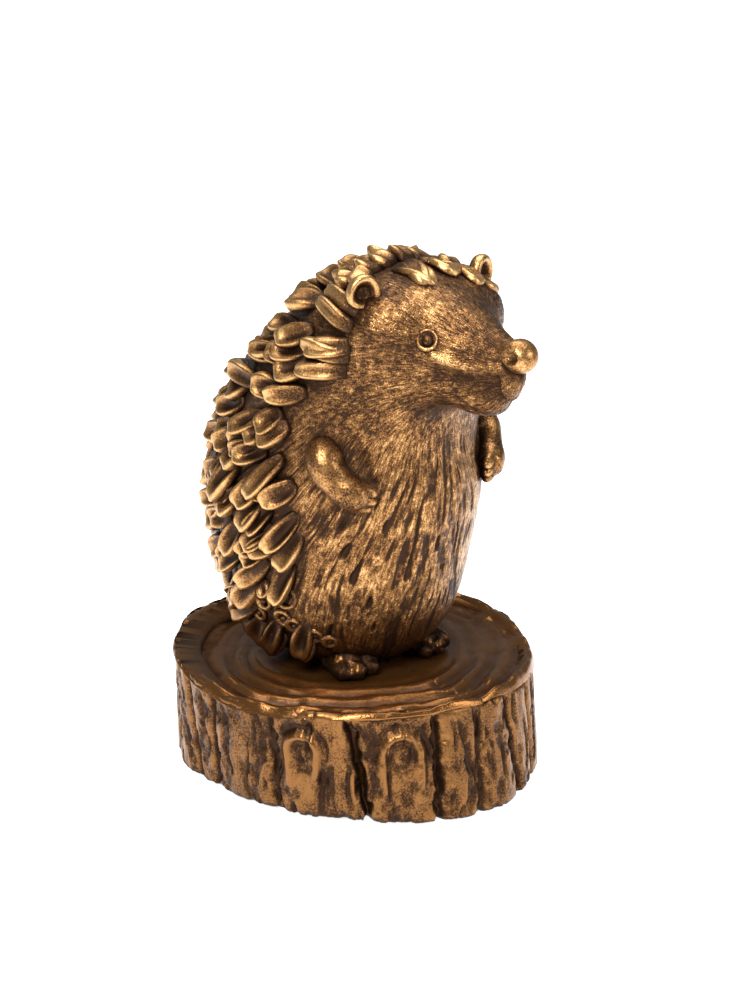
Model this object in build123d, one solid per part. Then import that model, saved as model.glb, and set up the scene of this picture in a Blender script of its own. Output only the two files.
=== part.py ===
from build123d import *
import math
import os

# A hedgehog figurine of cast resin, sitting upright on a slice of tree stump.
# Millimetres, +Z up. The hedgehog faces -Y, so its right side is on -X.
# The origin is the centre of the felt's underside, on which the figurine stands.

# Felt under the stump
felt_margin = 4.4
felt_thickness = 1.2
felt_proud = 0.4
felt_clearance = 0.2

# Stump: a core whose top carries the annual rings, with bark plates round it
stump_radius = 45.6
stump_height = 28.3
bark_thickness = 5.2
bark_gap = 0.9
bark_edge_radius = 1.4
bark_relief = 1.6
bark_drop = 1.1
rim_rise = 1.2
seat_radius = 31.0
ring_count = 3
ring_depth = 0.5
rim_width = 2.4
knot_radius = 4.2
knot_height = 1.0
knot_drop = 8.0

# Body: one skin through oval sections, from the seat on the stump to the crown
body_height = 101.5
body_width = 62.4
body_depth = 69.4
head_lean = 20.0

# Snout and nose
snout_length = 43.2
snout_root = 10.0
snout_width = 41.0
snout_height = 30.0
snout_sag = 2.0
nose_radius = 3.9
nose_stand = 2.8

# Eyes, ears and forehead
eye_radius = 2.1
eye_rise = 0.7
eye_ring_radius = 2.7
eye_ring_wire = 0.55
eye_reach = 27.0
ear_radius = 4.0
ear_thickness = 3.0
ear_edge = 1.2
ear_dish = 1.3
ear_spacing = 36.0
ear_setback = 22.0
ear_turn = 35.0

# Arms and hands
arm_root_radius = 4.6
arm_wrist_radius = 3.3
arm_length = 22.0
arm_spacing = 49.0
arm_setback = 14.5
finger_radius = 1.35
finger_length = 4.2
finger_gap = 0.2

# Feet and claws
foot_length = 17.0
foot_width = 13.0
foot_height = 6.2
foot_spacing = 22.0
foot_reach = 10.5
foot_splay = 14.0
claw_radius = 1.5
claw_length = 5.0

# Curl of fur on each haunch
curl_radius = 3.0
curl_wire = 1.0
curl_bead = 1.2

# Quills: flat-bottomed lobes that overlap like roof tiles
quill_length = 9.6
quill_width = 6.1
quill_height = 1.5
quill_tilt = 16.0
quill_pitch = 6.7
quill_step = 6.8
quill_seat_gap = 0.45
tuft_length = 6.0
tuft_width = 3.9
tuft_height = 1.6
tuft_count = 5
tuft_spread = 17.0

# Dowels that locate the castings on each other
dowel_radius = 2.0
dowel_length = 16.0
dowel_spacing = 22.0
neck_dowel_radius = 3.0
neck_dowel_length = 20.0
dowel_clearance = 0.1
dowel_end_clearance = 0.5

# Shares of the body's height, half width, half depth and lean at each section
level_share = (0.0, 0.054, 0.102, 0.156, 0.22, 0.317, 0.415, 0.493, 0.561, 0.659,
               0.746, 0.805, 0.873, 0.922, 0.961, 0.985, 0.997)
width_share = (0.48, 0.67, 0.78, 0.85, 0.904, 0.968, 1.0, 1.0, 0.968, 0.904,
               0.849, 0.785, 0.673, 0.545, 0.385, 0.192, 0.064)
depth_share = (0.43, 0.63, 0.755, 0.836, 0.9, 0.963, 1.0, 0.994, 0.945, 0.91,
               0.873, 0.778, 0.62, 0.461, 0.317, 0.159, 0.053)
shift_share = (0.2, 0.225, 0.25, 0.26, 0.28, 0.28, 0.225, 0.2, 0.15, 0.025,
               -0.125, -0.3, -0.575, -0.775, -0.9, -0.975, -1.0)

# Shares of the snout's length, half width, half height and sag at each section
reach_share = (0.0, 0.324, 0.509, 0.671, 0.81, 0.926, 1.0)
snout_width_share = (1.0, 0.94, 0.707, 0.52, 0.38, 0.28, 0.19)
snout_height_share = (0.967, 1.0, 0.93, 0.83, 0.7, 0.55, 0.37)
snout_shift_share = (0.0, 0.4, 0.25, -0.25, -1.0, -0.85, -0.25)

# Shares of the body's height where the neck, snout, nose, ears and arms lie
neck_share = 0.655
snout_lift_share = 0.818
nose_lift_share = 0.842
ear_lift_share = 0.966
arm_lift_share = 0.606

# Shares of the height up to the neck, and from the neck to the crown, where sections lie
torso_section_share = (0.0, 0.12, 0.24, 0.4, 0.55, 0.7, 0.85, 1.0)
head_section_share = (0.0, 0.2, 0.4, 0.57, 0.71, 0.83, 0.9, 0.95, 0.977, 0.991)

# Shares of a lobe: how wide its root is, how round its tip is, and how much its top is domed
lobe_root_share = 0.62
lobe_tip_share = 0.95
lobe_dome_share = 0.55

# Shares of the arm's length where the elbow and the wrist lie, and of its radii along it
elbow_share = (0.07, -0.25, -0.45)
wrist_share = (-0.25, -0.53, -0.62)
arm_radius_share = (0.7, 1.0, 0.95, 0.9, 1.0, 0.75)

# Shares of the foot's length, width and height from the heel to the toes
foot_reach_share = (-0.5, -0.2, 0.15, 0.4, 0.5)
foot_width_share = (0.55, 0.92, 1.0, 0.8, 0.5)
foot_height_share = (0.7, 1.0, 0.95, 0.7, 0.45)

# Directions of the grooves between the bark plates, in degrees from the front
groove_angles = (-105, -93, -68, -40, -16, -3, 12, 25, 44, 65, 88, 110, 130, 152, 175, 198, 222, 238)
bark_bulge_share = (0.3, 0.7, 0.5, 0.9, 1.0, 0.6, 0.4, 0.8, 0.5, 0.9, 0.6, 1.0, 0.4, 0.8, 0.6, 0.9, 0.5, 0.7)
bark_drop_share = (0.2, 0.0, 0.6, 0.1, 0.3, 0.9, 0.4, 0.0, 0.8, 0.3, 0.1, 0.7, 0.2, 0.5, 0.0, 0.6, 0.3, 0.8)
knot_angles = (-58, -24)
full_turn = 360

# Where the quills lie, as directions from the middle of the body
middle_share = 0.463
rump_angle = -45.0
face_angle = 115.0
lower_face_angle = 100.0
eye_slope = 0.35
curl_way = (-0.16, -0.97)
tuft_lean = -0.1
quill_search_rows = 60
quill_last_row = 5
snout_margin_share = 0.1
ear_margin = 2.2
fringe_margin = 9.0
seat_margin = 9.5
arm_margin = 3.0
quill_region_levels = (0.345, 0.5, 0.63, 0.785, 0.92)
quill_middle_share = 0.36

# Heights and places that several pieces share
ring_top = stump_height + felt_proud - rim_rise
core_radius = stump_radius - bark_thickness
felt_radius = core_radius - felt_margin
seat_level = ring_top
neck_height = neck_share * body_height
snout_lift = snout_lift_share * body_height
nose_lift = nose_lift_share * body_height
ear_lift = ear_lift_share * body_height
arm_lift = arm_lift_share * body_height
half_width = body_width / 2
half_depth = body_depth / 2
middle = Vector(0, 0, seat_level + middle_share * body_height)


def between(share, shares, values):
    """Smooth curve through a table of values, read at one share."""
    last = len(shares) - 2
    index = 0
    while index < last and share > shares[index + 1]:
        index += 1
    width = shares[index + 1] - shares[index]
    t = (share - shares[index]) / width
    slope = []
    for k in (index, index + 1):
        low = max(k - 1, 0)
        high = min(k + 1, len(shares) - 1)
        slope.append((values[high] - values[low]) / (shares[high] - shares[low]))
    rise = values[index + 1] - values[index]
    ease = t * t * (3 - 2 * t)
    start_bend = t * (1 - t) * (1 - t) * width * slope[0]
    end_bend = t * t * (t - 1) * width * slope[1]
    return values[index] + ease * rise + start_bend + end_bend


def body_oval(share):
    """Half width, half depth and centre along Y of the body at one height."""
    wide = half_width * between(share, level_share, width_share)
    deep = half_depth * between(share, level_share, depth_share)
    centre = head_lean * between(share, level_share, shift_share)
    return wide, deep, centre


def snout_oval(share):
    """Half width, half height and centre height of the snout at one reach."""
    wide = snout_width / 2 * between(share, reach_share, snout_width_share)
    tall = snout_height / 2 * between(share, reach_share, snout_height_share)
    centre = seat_level + snout_lift + snout_sag * between(share, reach_share, snout_shift_share)
    return wide, tall, centre


def body_depth_at(x, y, z):
    """Below zero inside the body's skin, above zero outside it."""
    share = (z - seat_level) / body_height
    if share <= level_share[0] or share >= level_share[-1]:
        return 1.0
    wide, deep, centre = body_oval(share)
    return math.hypot(x / wide, (y - centre) / deep) - 1


def snout_depth_at(x, y, z):
    """Below zero inside the snout, above zero outside it."""
    share = (-y - snout_root) / snout_length
    if share <= reach_share[0] or share >= reach_share[-1]:
        return 1.0
    wide, tall, centre = snout_oval(share)
    return math.hypot(x / wide, (z - centre) / tall) - 1


def skin_depth_at(x, y, z):
    """Below zero inside the hedgehog, above zero outside it."""
    return min(body_depth_at(x, y, z), snout_depth_at(x, y, z))


def skin_place(direction, start, depth_at):
    """Point of the skin in one direction from a start inside, and the normal there."""
    way = direction.normalized()
    near = 0.0
    far = body_height
    for _ in range(24):
        half = (near + far) / 2
        if depth_at(start.X + way.X * half, start.Y + way.Y * half, start.Z + way.Z * half) < 0:
            near = half
        else:
            far = half
    point = start + way * far
    nudge = body_height / 2000
    x, y, z = point
    slope_x = depth_at(x + nudge, y, z) - depth_at(x - nudge, y, z)
    slope_y = depth_at(x, y + nudge, z) - depth_at(x, y - nudge, z)
    slope_z = depth_at(x, y, z + nudge) - depth_at(x, y, z - nudge)
    return point, Vector(slope_x, slope_y, slope_z).normalized()


def dome_face(wide, tall, where):
    """Section of a lobe: a flat underside of one width below an arched top."""
    side = wide / 2
    shoulder = 0.42
    arch = 0.8
    left = Vector(-side, 0)
    right = Vector(side, 0)
    with_top = Vector(0, tall)
    left_shoulder = Vector(-side, tall * shoulder)
    right_shoulder = Vector(side, tall * shoulder)
    outline = [Line(left_shoulder, left), Line(left, right), Line(right, right_shoulder)]
    outline.append(ThreePointArc(right_shoulder, with_top * arch + with_top * (1 - arch), left_shoulder))
    return where * make_face(outline)


def lobe(length, width, height):
    """A rounded lobe with a flat underside: its root is at the origin, its tip on +X."""
    half = width / 2
    root = half * lobe_root_share
    belly = length - half * lobe_tip_share
    outline = [Line((0, -root), (belly, -half)), Line((belly, half), (0, root)), Line((0, root), (0, -root))]
    outline.append(ThreePointArc((belly, -half), (length, 0), (belly, half)))
    slab = extrude(make_face(outline), height)
    drop = height * lobe_dome_share
    dome_radius = (half * half + drop * drop) / (2 * drop)
    along = Plane(origin=(length / 2, 0, height - dome_radius), z_dir=(1, 0, 0))
    return slab & (along.location * Cylinder(dome_radius, 2 * length))


def laid(shape, point, normal, flow, tilt, gap):
    """A lobe laid on the skin at a point, its tip along the flow and raised by the tilt."""
    flat_flow = (flow - normal * flow.dot(normal)).normalized()
    seat = Plane(origin=point + normal * gap, x_dir=flat_flow, z_dir=normal)
    return seat.location * (Rotation(0, -tilt, 0) * shape)


def make_felt():
    """Felt disc glued into the recess under the stump."""
    felt = Cylinder(felt_radius, felt_thickness, align=(Align.CENTER, Align.CENTER, Align.MIN))
    return felt


def stump_outline():
    """Half section of the stump's core, with the annual rings on its top."""
    recess_top = felt_thickness
    recess_radius = felt_radius + felt_clearance
    rim_start = core_radius - rim_width
    top = ring_top
    edges = [Line((0, recess_top), (recess_radius, recess_top))]
    edges.append(Line((recess_radius, recess_top), (recess_radius, felt_proud)))
    edges.append(Line((recess_radius, felt_proud), (core_radius, felt_proud)))
    edges.append(Line((core_radius, felt_proud), (core_radius, top + rim_rise)))
    edges.append(Line((core_radius, top + rim_rise), (rim_start, top)))
    pitch = (rim_start - seat_radius) / ring_count
    for ring in range(ring_count):
        outer = rim_start - ring * pitch
        middle_radius = outer - pitch / 2
        inner = outer - pitch
        edges.append(ThreePointArc((outer, top), (middle_radius, top - ring_depth), (inner, top)))
    edges.append(Line((seat_radius, top), (0, top)))
    edges.append(Line((0, top), (0, recess_top)))
    return Plane.XZ * make_face(edges)


def make_stump(dowels):
    """Core of the stump, with its recess for the felt and its dowel holes."""
    return less(revolve(stump_outline(), Axis.Z), dowels)


def plate_edges(index):
    """Angles where one bark plate starts and ends, and its middle."""
    half_gap = math.degrees(bark_gap / 2 / stump_radius)
    start = groove_angles[index]
    end = groove_angles[(index + 1) % len(groove_angles)]
    if end < start:
        end += full_turn
    return start + half_gap, end - half_gap


def around(radius, angle):
    """Point at one radius, at an angle counted from the front towards +X."""
    turn = math.radians(angle - 90)
    return Vector(radius * math.cos(turn), radius * math.sin(turn))


def bark_plate(index):
    """One plate of bark: a curved slab with rounded outer edges."""
    start, end = plate_edges(index)
    centre = (start + end) / 2
    outer = stump_radius - bark_relief * (1 - bark_bulge_share[index])
    side = outer - bark_relief / 2
    inner_arc = ThreePointArc(around(core_radius, start), around(core_radius, centre), around(core_radius, end))
    outline = [inner_arc]
    outline.append(Line(around(core_radius, end), around(side, end)))
    outline.append(ThreePointArc(around(side, end), around(outer, centre), around(side, start)))
    outline.append(Line(around(side, start), around(core_radius, start)))
    top = stump_height - bark_drop * bark_drop_share[index]
    plate = extrude(Plane.XY.offset(felt_proud) * make_face(outline), top)
    corners = plate.edges().filter_by(Axis.Z).sort_by(lambda edge: edge.center().Z)
    far_corners = [edge for edge in corners if edge.center().length > core_radius + bark_edge_radius]
    room = (side - core_radius) / 2
    return fillet(far_corners, min(bark_edge_radius, room))


def make_bark():
    """All bark plates round the stump, each a solid of its own."""
    return [bark_plate(index) for index in range(len(groove_angles))]


def plate_at(angle):
    """Which bark plate holds one angle."""
    for index in range(len(groove_angles)):
        start, end = plate_edges(index)
        if start <= angle <= end:
            return index
    return 0


def make_knots():
    """Two round knots on the front plates."""
    knots = []
    for angle in knot_angles:
        level = stump_height - knot_drop
        outward = around(1, angle)
        face = stump_radius - bark_relief * (1 - bark_bulge_share[plate_at(angle)])
        flat = Plane(origin=outward * face + Vector(0, 0, level), z_dir=outward)
        knot = flat.location * Cylinder(knot_radius, knot_height * 2)
        outer_edge = knot.edges().group_by(lambda edge: edge.center().dot(outward))[-1]
        knots.append(fillet(outer_edge, knot_height / 2))
    return knots


def body_loft(shares):
    """The body's skin through the ovals at some shares of its height."""
    sections = []
    for share in shares:
        wide, deep, centre = body_oval(share)
        where = Plane(origin=(0, centre, seat_level + share * body_height))
        sections.append(where * Ellipse(wide, deep))
    return loft(sections)


def snout_loft():
    """The snout, from inside the head to the seat of the nose."""
    sections = []
    for share in reach_share:
        wide, tall, centre = snout_oval(share)
        origin = (0, -snout_root - share * snout_length, centre)
        where = Plane(origin=origin, x_dir=(1, 0, 0), z_dir=(0, -1, 0))
        sections.append(where * Ellipse(wide, tall))
    return loft(sections)


def make_nose():
    """Nose ball, cut flat where it sits on the end of the snout."""
    snout_end = snout_root + snout_length
    ball = Pos(0, -snout_end - nose_stand, seat_level + nose_lift) * Sphere(nose_radius)
    seat = Plane(origin=(0, -snout_end, 0), x_dir=(1, 0, 0), z_dir=(0, -1, 0))
    return split(ball, seat, keep=Keep.TOP)


def eye_place(side):
    """Where one eye lies on the side of the snout."""
    start = Vector(0, -snout_root - eye_reach, seat_level + snout_lift)
    return skin_place(Vector(side, 0, eye_slope), start, snout_depth_at)


def make_eye(side):
    """Eye bead, sunk into the head so that a shallow dome stands out."""
    point, normal = eye_place(side)
    centre = point - normal * (eye_radius - eye_rise)
    return Plane(origin=centre, x_dir=(0, 0, 1), z_dir=(0, -1, 0)).location * Sphere(eye_radius)


def make_eye_ring(side):
    """Raised ring of the eyelid round the eye bead."""
    point, normal = eye_place(side)
    flat = Plane(origin=point, z_dir=normal)
    return flat.location * Torus(eye_ring_radius, eye_ring_wire)


def ear_plane(side):
    """Plane of one ear: its dish faces forwards and outwards."""
    origin = Vector(side * ear_spacing / 2, -ear_setback, seat_level + ear_lift)
    turn = math.radians(ear_turn)
    facing = Vector(side * math.sin(turn), -math.cos(turn), 0)
    return Plane(origin=origin, x_dir=facing.cross(Vector(0, 0, 1)), z_dir=facing)


def make_ear(side):
    """Round ear with a rolled edge and a dished front."""
    ear = Cylinder(ear_radius, ear_thickness)
    ear = fillet(ear.edges().filter_by(GeomType.CIRCLE), ear_edge)
    dish_radius = ear_radius * 1.2
    ear -= Pos(0, 0, ear_thickness / 2 - ear_dish + dish_radius) * Sphere(dish_radius)
    return ear_plane(side).location * ear


def arm_place(side, share):
    """Point of the arm's bent middle line, from the shoulder at 0 to the wrist at 1."""
    shoulder = Vector(side * arm_spacing / 2, -arm_setback, seat_level + arm_lift)
    elbow = shoulder + Vector(side * elbow_share[0], elbow_share[1], elbow_share[2]) * arm_length
    wrist = shoulder + Vector(side * wrist_share[0], wrist_share[1], wrist_share[2]) * arm_length
    rest = 1 - share
    return shoulder * rest * rest + elbow * 2 * share * rest + wrist * share * share


def arm_direction(side, share):
    """Direction of the arm's middle line at one share of its length."""
    step = 1 / 100
    return (arm_place(side, share + step) - arm_place(side, share - step)).normalized()


def make_arm(side):
    """Arm that lies against the chest, thick at the shoulder and slim at the wrist."""
    sections = []
    last = len(arm_radius_share) - 1
    for index, size in enumerate(arm_radius_share):
        share = index / last
        radius = arm_root_radius + (arm_wrist_radius - arm_root_radius) * share
        where = Plane(origin=arm_place(side, share), z_dir=arm_direction(side, share))
        sections.append(where * Circle(radius * size))
    return loft(sections)


def capsule(start, direction, length, radius):
    """Rod with a round tip, such as a finger or a claw."""
    where = Plane(origin=start, z_dir=direction)
    rod = Cylinder(radius, length, align=(Align.CENTER, Align.CENTER, Align.MIN))
    rod = fillet(rod.edges().sort_by(Axis.Z)[-1], radius * 0.9)
    return where.location * rod


def make_fingers(side):
    """Three short fingers side by side at the end of the arm."""
    direction = arm_direction(side, 1)
    across = direction.cross(Vector(side, -1, 0)).normalized()
    fingers = []
    for place in (-1, 0, 1):
        start = arm_place(side, 1) + across * (place * (2 * finger_radius + finger_gap))
        start = start - direction * (finger_length / 3)
        fingers.append(capsule(start, direction, finger_length, finger_radius))
    return fingers


def foot_plane(side):
    """Plane of one foot on the stump, turned outwards."""
    origin = Vector(side * foot_spacing / 2, -foot_reach, seat_level)
    turn = math.radians(foot_splay)
    forward = Vector(side * math.sin(turn), -math.cos(turn), 0)
    return Plane(origin=origin, x_dir=forward, z_dir=(0, 0, 1))


def make_foot(side):
    """Foot with a flat sole, lofted from the heel to the toes."""
    sections = []
    for reach, wide, tall in zip(foot_reach_share, foot_width_share, foot_height_share):
        where = Plane(origin=(reach * foot_length, 0, 0), x_dir=(0, 1, 0), z_dir=(1, 0, 0))
        sections.append(dome_face(wide * foot_width, tall * foot_height, where))
    return foot_plane(side).location * loft(sections)


def make_claws(side):
    """Three claws at the front of the foot, resting on the stump."""
    claws = []
    for place in (-1, 0, 1):
        start = Vector((0.42 - 0.05 * abs(place)) * foot_length, place * claw_radius * 2.2, claw_radius)
        spread = Vector(1, 0.22 * place, 0)
        claws.append(foot_plane(side).location * capsule(start, spread, claw_length, claw_radius))
    return claws


def curl_place(side):
    """Where the curl of fur lies on the haunch."""
    return skin_place(Vector(side, *curl_way), middle, body_depth_at)


def make_curl(side):
    """Curl of fur on the haunch: a ring round a bead."""
    point, normal = curl_place(side)
    flat = Plane(origin=point, z_dir=normal)
    return [flat.location * Torus(curl_radius, curl_wire), flat.location * Sphere(curl_bead)]


def quill_places():
    """Point, normal and flow of every quill, row after row from the face to the rump.

    A row lies at one angle from the rump. A place is taken when no quill that
    has been laid before lies inside an oval of one pitch by one step round it.
    The left side repeats the right side.
    """
    tilt = math.radians(rump_angle)
    rump = Vector(0, math.cos(tilt), math.sin(tilt))
    up = Vector(0, -math.sin(tilt), math.cos(tilt))
    side = Vector(1, 0, 0)
    features = quill_obstacles()
    taken = []
    for row in range(quill_search_rows, quill_last_row, -1):
        polar = math.pi * row / quill_search_rows
        turns = max(2, round(quill_search_rows * math.sin(polar)))
        for place in range(turns + 1):
            turn = math.pi * place / turns
            outward = up * math.cos(turn) + side * math.sin(turn)
            direction = rump * math.cos(polar) + outward * math.sin(polar)
            if not in_quill_area(direction):
                continue
            point, normal = skin_place(direction, middle, body_depth_at)
            if not clear_of(features, point):
                continue
            flow = (rump - normal * rump.dot(normal)).normalized()
            spots = [(point, normal, flow)]
            if point.X > quill_pitch / 100:
                spots.append(tuple(Vector(-spot.X, spot.Y, spot.Z) for spot in spots[0]))
            if all(is_free(spot, taken) for spot in spots) and apart(spots):
                taken.extend(spots)
    return taken


def apart(spots):
    """Whether a quill and its twin on the other side stay clear of each other."""
    return len(spots) == 1 or is_free(spots[0], spots[1:])


def in_quill_area(direction):
    """Whether a direction lies behind the edge of the face."""
    drop = max(0.0, -direction.Z)
    limit = face_angle + (lower_face_angle - face_angle) * drop
    return math.degrees(math.acos(direction.Y)) < limit


def quill_obstacles():
    """Centre and reach of each piece that the quills leave room for."""
    listed = []
    for side in (-1, 1):
        listed.append((ear_plane(side).origin, ear_radius + ear_margin))
        listed.append((curl_place(side)[0], curl_radius + curl_wire + quill_width / 2))
        for step in range(len(arm_radius_share)):
            centre = arm_place(side, step / (len(arm_radius_share) - 1))
            listed.append((centre, arm_root_radius + arm_margin))
    return listed


def clear_of(obstacles, point):
    """Whether a point of the skin is clear of the obstacles, the stump and the snout."""
    if point.Z < seat_level + seat_margin or point.Y < fringe_margin - ear_setback:
        return False
    if snout_depth_at(*point) < snout_margin_share:
        return False
    return all((point - centre).length > reach for centre, reach in obstacles)


def is_free(spot, taken):
    """Whether a quill laid at a spot stays clear of those laid before."""
    point, normal, flow = spot
    across = normal.cross(flow)
    for other, _, _ in taken:
        gap = other - point
        along = math.hypot(gap.dot(flow), gap.dot(normal)) / quill_step
        if math.hypot(along, gap.dot(across) / quill_pitch) < 1:
            return False
    return True


def quill_region(point):
    """Name of the part of the coat that a quill belongs to."""
    share = (point.Z - seat_level) / body_height
    band = sum(1 for level in quill_region_levels if share > level)
    if abs(point.X) < quill_middle_share * half_width:
        return ("rump", "lower_back", "middle_back", "upper_back", "nape", "crown")[band] + "_quills"
    side = "right_" if point.X < 0 else "left_"
    return side + ("haunch", "flank", "side", "shoulder", "temple", "temple")[band] + "_quills"


def make_quills():
    """Every quill, sorted into the parts of the coat."""
    shape = lobe(quill_length, quill_width, quill_height)
    regions = {}
    for point, normal, flow in quill_places():
        quill = laid(shape, point, normal, flow, quill_tilt, quill_seat_gap)
        regions.setdefault(quill_region(point), []).append(quill)
    return regions


def make_tufts():
    """Tufts of fur between the ears, combed forwards over the brow."""
    shape = lobe(tuft_length, tuft_width, tuft_height)
    start = Vector(0, -ear_setback, seat_level + snout_lift)
    tufts = []
    for index in range(tuft_count):
        turn = math.radians((index - (tuft_count - 1) / 2) * tuft_spread)
        way = Vector(math.sin(turn), tuft_lean, math.cos(turn))
        point, normal = skin_place(way, start, skin_depth_at)
        flow = Vector(math.sin(turn), -1, 0)
        tufts.append(laid(shape, point, normal, flow, quill_tilt, quill_seat_gap))
    return tufts


def make_dowels():
    """Two dowels between the stump and the body, and the holes that take them."""
    dowels = []
    holes = []
    for side in (-1, 1):
        place = Pos(side * dowel_spacing / 2, 0, seat_level)
        dowels.append(place * Cylinder(dowel_radius, dowel_length))
        hole_length = dowel_length + 2 * dowel_end_clearance
        holes.append(place * Cylinder(dowel_radius + dowel_clearance, hole_length))
    return dowels, holes


def make_neck_dowel():
    """The dowel between the body and the head, and the hole that takes it."""
    place = Pos(0, 0, seat_level + neck_height)
    dowel = place * Cylinder(neck_dowel_radius, neck_dowel_length)
    hole_length = neck_dowel_length + 2 * dowel_end_clearance
    hole = place * Cylinder(neck_dowel_radius + dowel_clearance, hole_length)
    return dowel, hole


def both(maker):
    """A piece for the right side and its twin for the left side."""
    return {"right": maker(-1), "left": maker(1)}


def solids_of(pieces):
    """Flat list of the solids of one piece or several."""
    listed = pieces if isinstance(pieces, list) else [pieces]
    return [solid for piece in listed for solid in piece.solids()]


def less(body, tools):
    """A body with the seats of other pieces cut into it."""
    return body - [solid for tool in tools for solid in solids_of(tool)]


def save(name, pieces):
    """Write one named sub-part as a group of its solids."""
    solids = solids_of(pieces)
    shape = solids[0] if len(solids) == 1 else Compound(children=solids)
    shape.label = name
    export_step(shape, f"parts/{name}.step")


def main():
    """Build every sub-part and write it to its own file."""
    os.makedirs("parts", exist_ok=True)
    dowels, dowel_holes = make_dowels()
    neck_dowel, neck_hole = make_neck_dowel()
    eyes = both(make_eye)
    rings = both(make_eye_ring)
    ears = both(make_ear)
    arms = both(make_arm)
    fingers = both(make_fingers)
    feet = both(make_foot)
    claws = both(make_claws)
    curls = both(make_curl)

    torso_levels = [neck_share * share for share in torso_section_share]
    head_levels = [neck_share + (1 - neck_share) * share for share in head_section_share]
    torso = less(body_loft(torso_levels), dowel_holes + [neck_hole])
    head = body_loft(head_levels) + snout_loft()
    head = less(head, [neck_hole])
    save("base_felt", make_felt())
    save("stump_core", make_stump(dowel_holes))
    save("bark_plates", make_bark())
    save("bark_knots", less_each(make_knots(), make_bark()))
    save("body_dowels", dowels)
    save("neck_dowel", neck_dowel)
    save("nose_tip", make_nose())
    for side in ("right", "left"):
        ring = less(rings[side], [eyes[side]])
        head = less(head, [eyes[side]])
        head = less(head, [ring])
        head = less(head, [ears[side]])
        torso = less(torso, [arms[side], fingers[side], feet[side], claws[side], curls[side]])
        save(f"{side}_eye", eyes[side])
        save(f"{side}_eye_ring", ring)
        save(f"{side}_ear", ears[side])
        save(f"{side}_arm", less(arms[side], [fingers[side]]))
        save(f"{side}_fingers", fingers[side])
        save(f"{side}_foot", less(feet[side], [claws[side]]))
        save(f"{side}_claws", claws[side])
        save(f"{side}_haunch_curl", curls[side])
    save("torso", torso)
    save("head", head)
    save("forehead_tufts", make_tufts())
    for region, quills in make_quills().items():
        save(region, quills)


def less_each(pieces, tools):
    """Each piece with the tools cut out of it."""
    return [less(piece, tools) for piece in pieces]


main()
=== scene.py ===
import logging
import math
from dataclasses import dataclass, field
from enum import Enum
from typing import Callable, Iterable, Optional, Sequence

import bpy
import numpy as np
from mathutils import Matrix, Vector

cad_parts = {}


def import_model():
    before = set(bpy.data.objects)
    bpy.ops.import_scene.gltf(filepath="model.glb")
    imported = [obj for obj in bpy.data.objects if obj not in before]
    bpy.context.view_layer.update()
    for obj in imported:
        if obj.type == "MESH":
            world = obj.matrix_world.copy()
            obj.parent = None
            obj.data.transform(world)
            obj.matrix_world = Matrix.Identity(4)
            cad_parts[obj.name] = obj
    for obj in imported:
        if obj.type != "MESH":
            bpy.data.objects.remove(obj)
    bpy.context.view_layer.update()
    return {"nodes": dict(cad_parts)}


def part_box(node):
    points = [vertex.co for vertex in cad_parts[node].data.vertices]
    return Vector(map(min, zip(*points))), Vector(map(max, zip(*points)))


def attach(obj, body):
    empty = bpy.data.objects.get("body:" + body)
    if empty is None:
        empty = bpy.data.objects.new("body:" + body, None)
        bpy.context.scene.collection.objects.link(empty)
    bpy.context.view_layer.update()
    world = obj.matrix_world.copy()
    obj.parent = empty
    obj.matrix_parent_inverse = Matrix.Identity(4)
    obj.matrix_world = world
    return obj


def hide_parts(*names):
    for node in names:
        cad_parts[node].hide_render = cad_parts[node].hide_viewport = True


# A hedgehog of cast resin, painted in antique gold over dark brown, on a slice of
# tree stump. Sizes are in millimetres here and become metres when a mesh is made.
# The hedgehog faces -Y and +Z is up, as in the frame.

MM = 0.001
LOG = logging.getLogger("hedgehog")
Array = np.ndarray
BUMP_STRENGTH = 0.7


class Slot(Enum):
    """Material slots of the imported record."""

    FUR = "gilt_fur"
    QUILLS = "gilt_quills"
    DETAILS = "gilt_details"
    RINGS = "gilt_rings"
    BARK = "gilt_bark"
    FELT = "green_felt"
    DOWEL = "steel_dowel"


class Side(Enum):
    """The hedgehog's own sides. The value is the sign of X."""

    RIGHT = -1
    LEFT = 1

    @property
    def label(self) -> str:
        """Name of the side as the frame's nodes have it."""
        return self.name.lower()


# arrays


def unit(vectors: Array) -> Array:
    """Vectors over their own lengths."""
    return vectors / np.maximum(np.linalg.norm(vectors, axis=-1, keepdims=True), 1e-9)


def in_plane(flow: Array, normal: Array) -> Array:
    """Unit ways with what they have along the normals taken out."""
    return unit(flow - normal * (flow * normal).sum(-1, keepdims=True))


def folded(p: Array) -> Array:
    """Points mirrored to the side where X is above zero."""
    return np.concatenate([np.abs(p[..., :1]), p[..., 1:]], axis=-1)


def lattice(*parts: Array | float) -> Array:
    """Two or three coordinates as points with 3 numbers each, 0 where none is given."""
    return np.stack(np.broadcast_arrays(*[*parts, 0.0, 0.0][:3]), axis=-1)


def full_turn(count: int) -> Array:
    """Angles of evenly spaced points round a circle."""
    return np.linspace(0, 2 * np.pi, count, endpoint=False)


def sphere_ways(polar: Array, turn: Array) -> Array:
    """Unit ways at polar angles from -Y, turned from +Z towards +X."""
    return lattice(np.sin(polar) * np.sin(turn), -np.cos(polar), np.sin(polar) * np.cos(turn))


def in_mm(box: Sequence[Sequence[float]]) -> tuple[Array, Array]:
    """Low and high corners of a box, from metres to millimetres."""
    return np.array(box[0]) / MM, np.array(box[1]) / MM


def smooth_step(low: float, high: float, values: Array) -> Array:
    """Rises from 0 at low to 1 at high as 3t^2 - 2t^3."""
    t = np.clip((values - low) / (high - low), 0, 1)
    return t * t * (3 - 2 * t)


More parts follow.
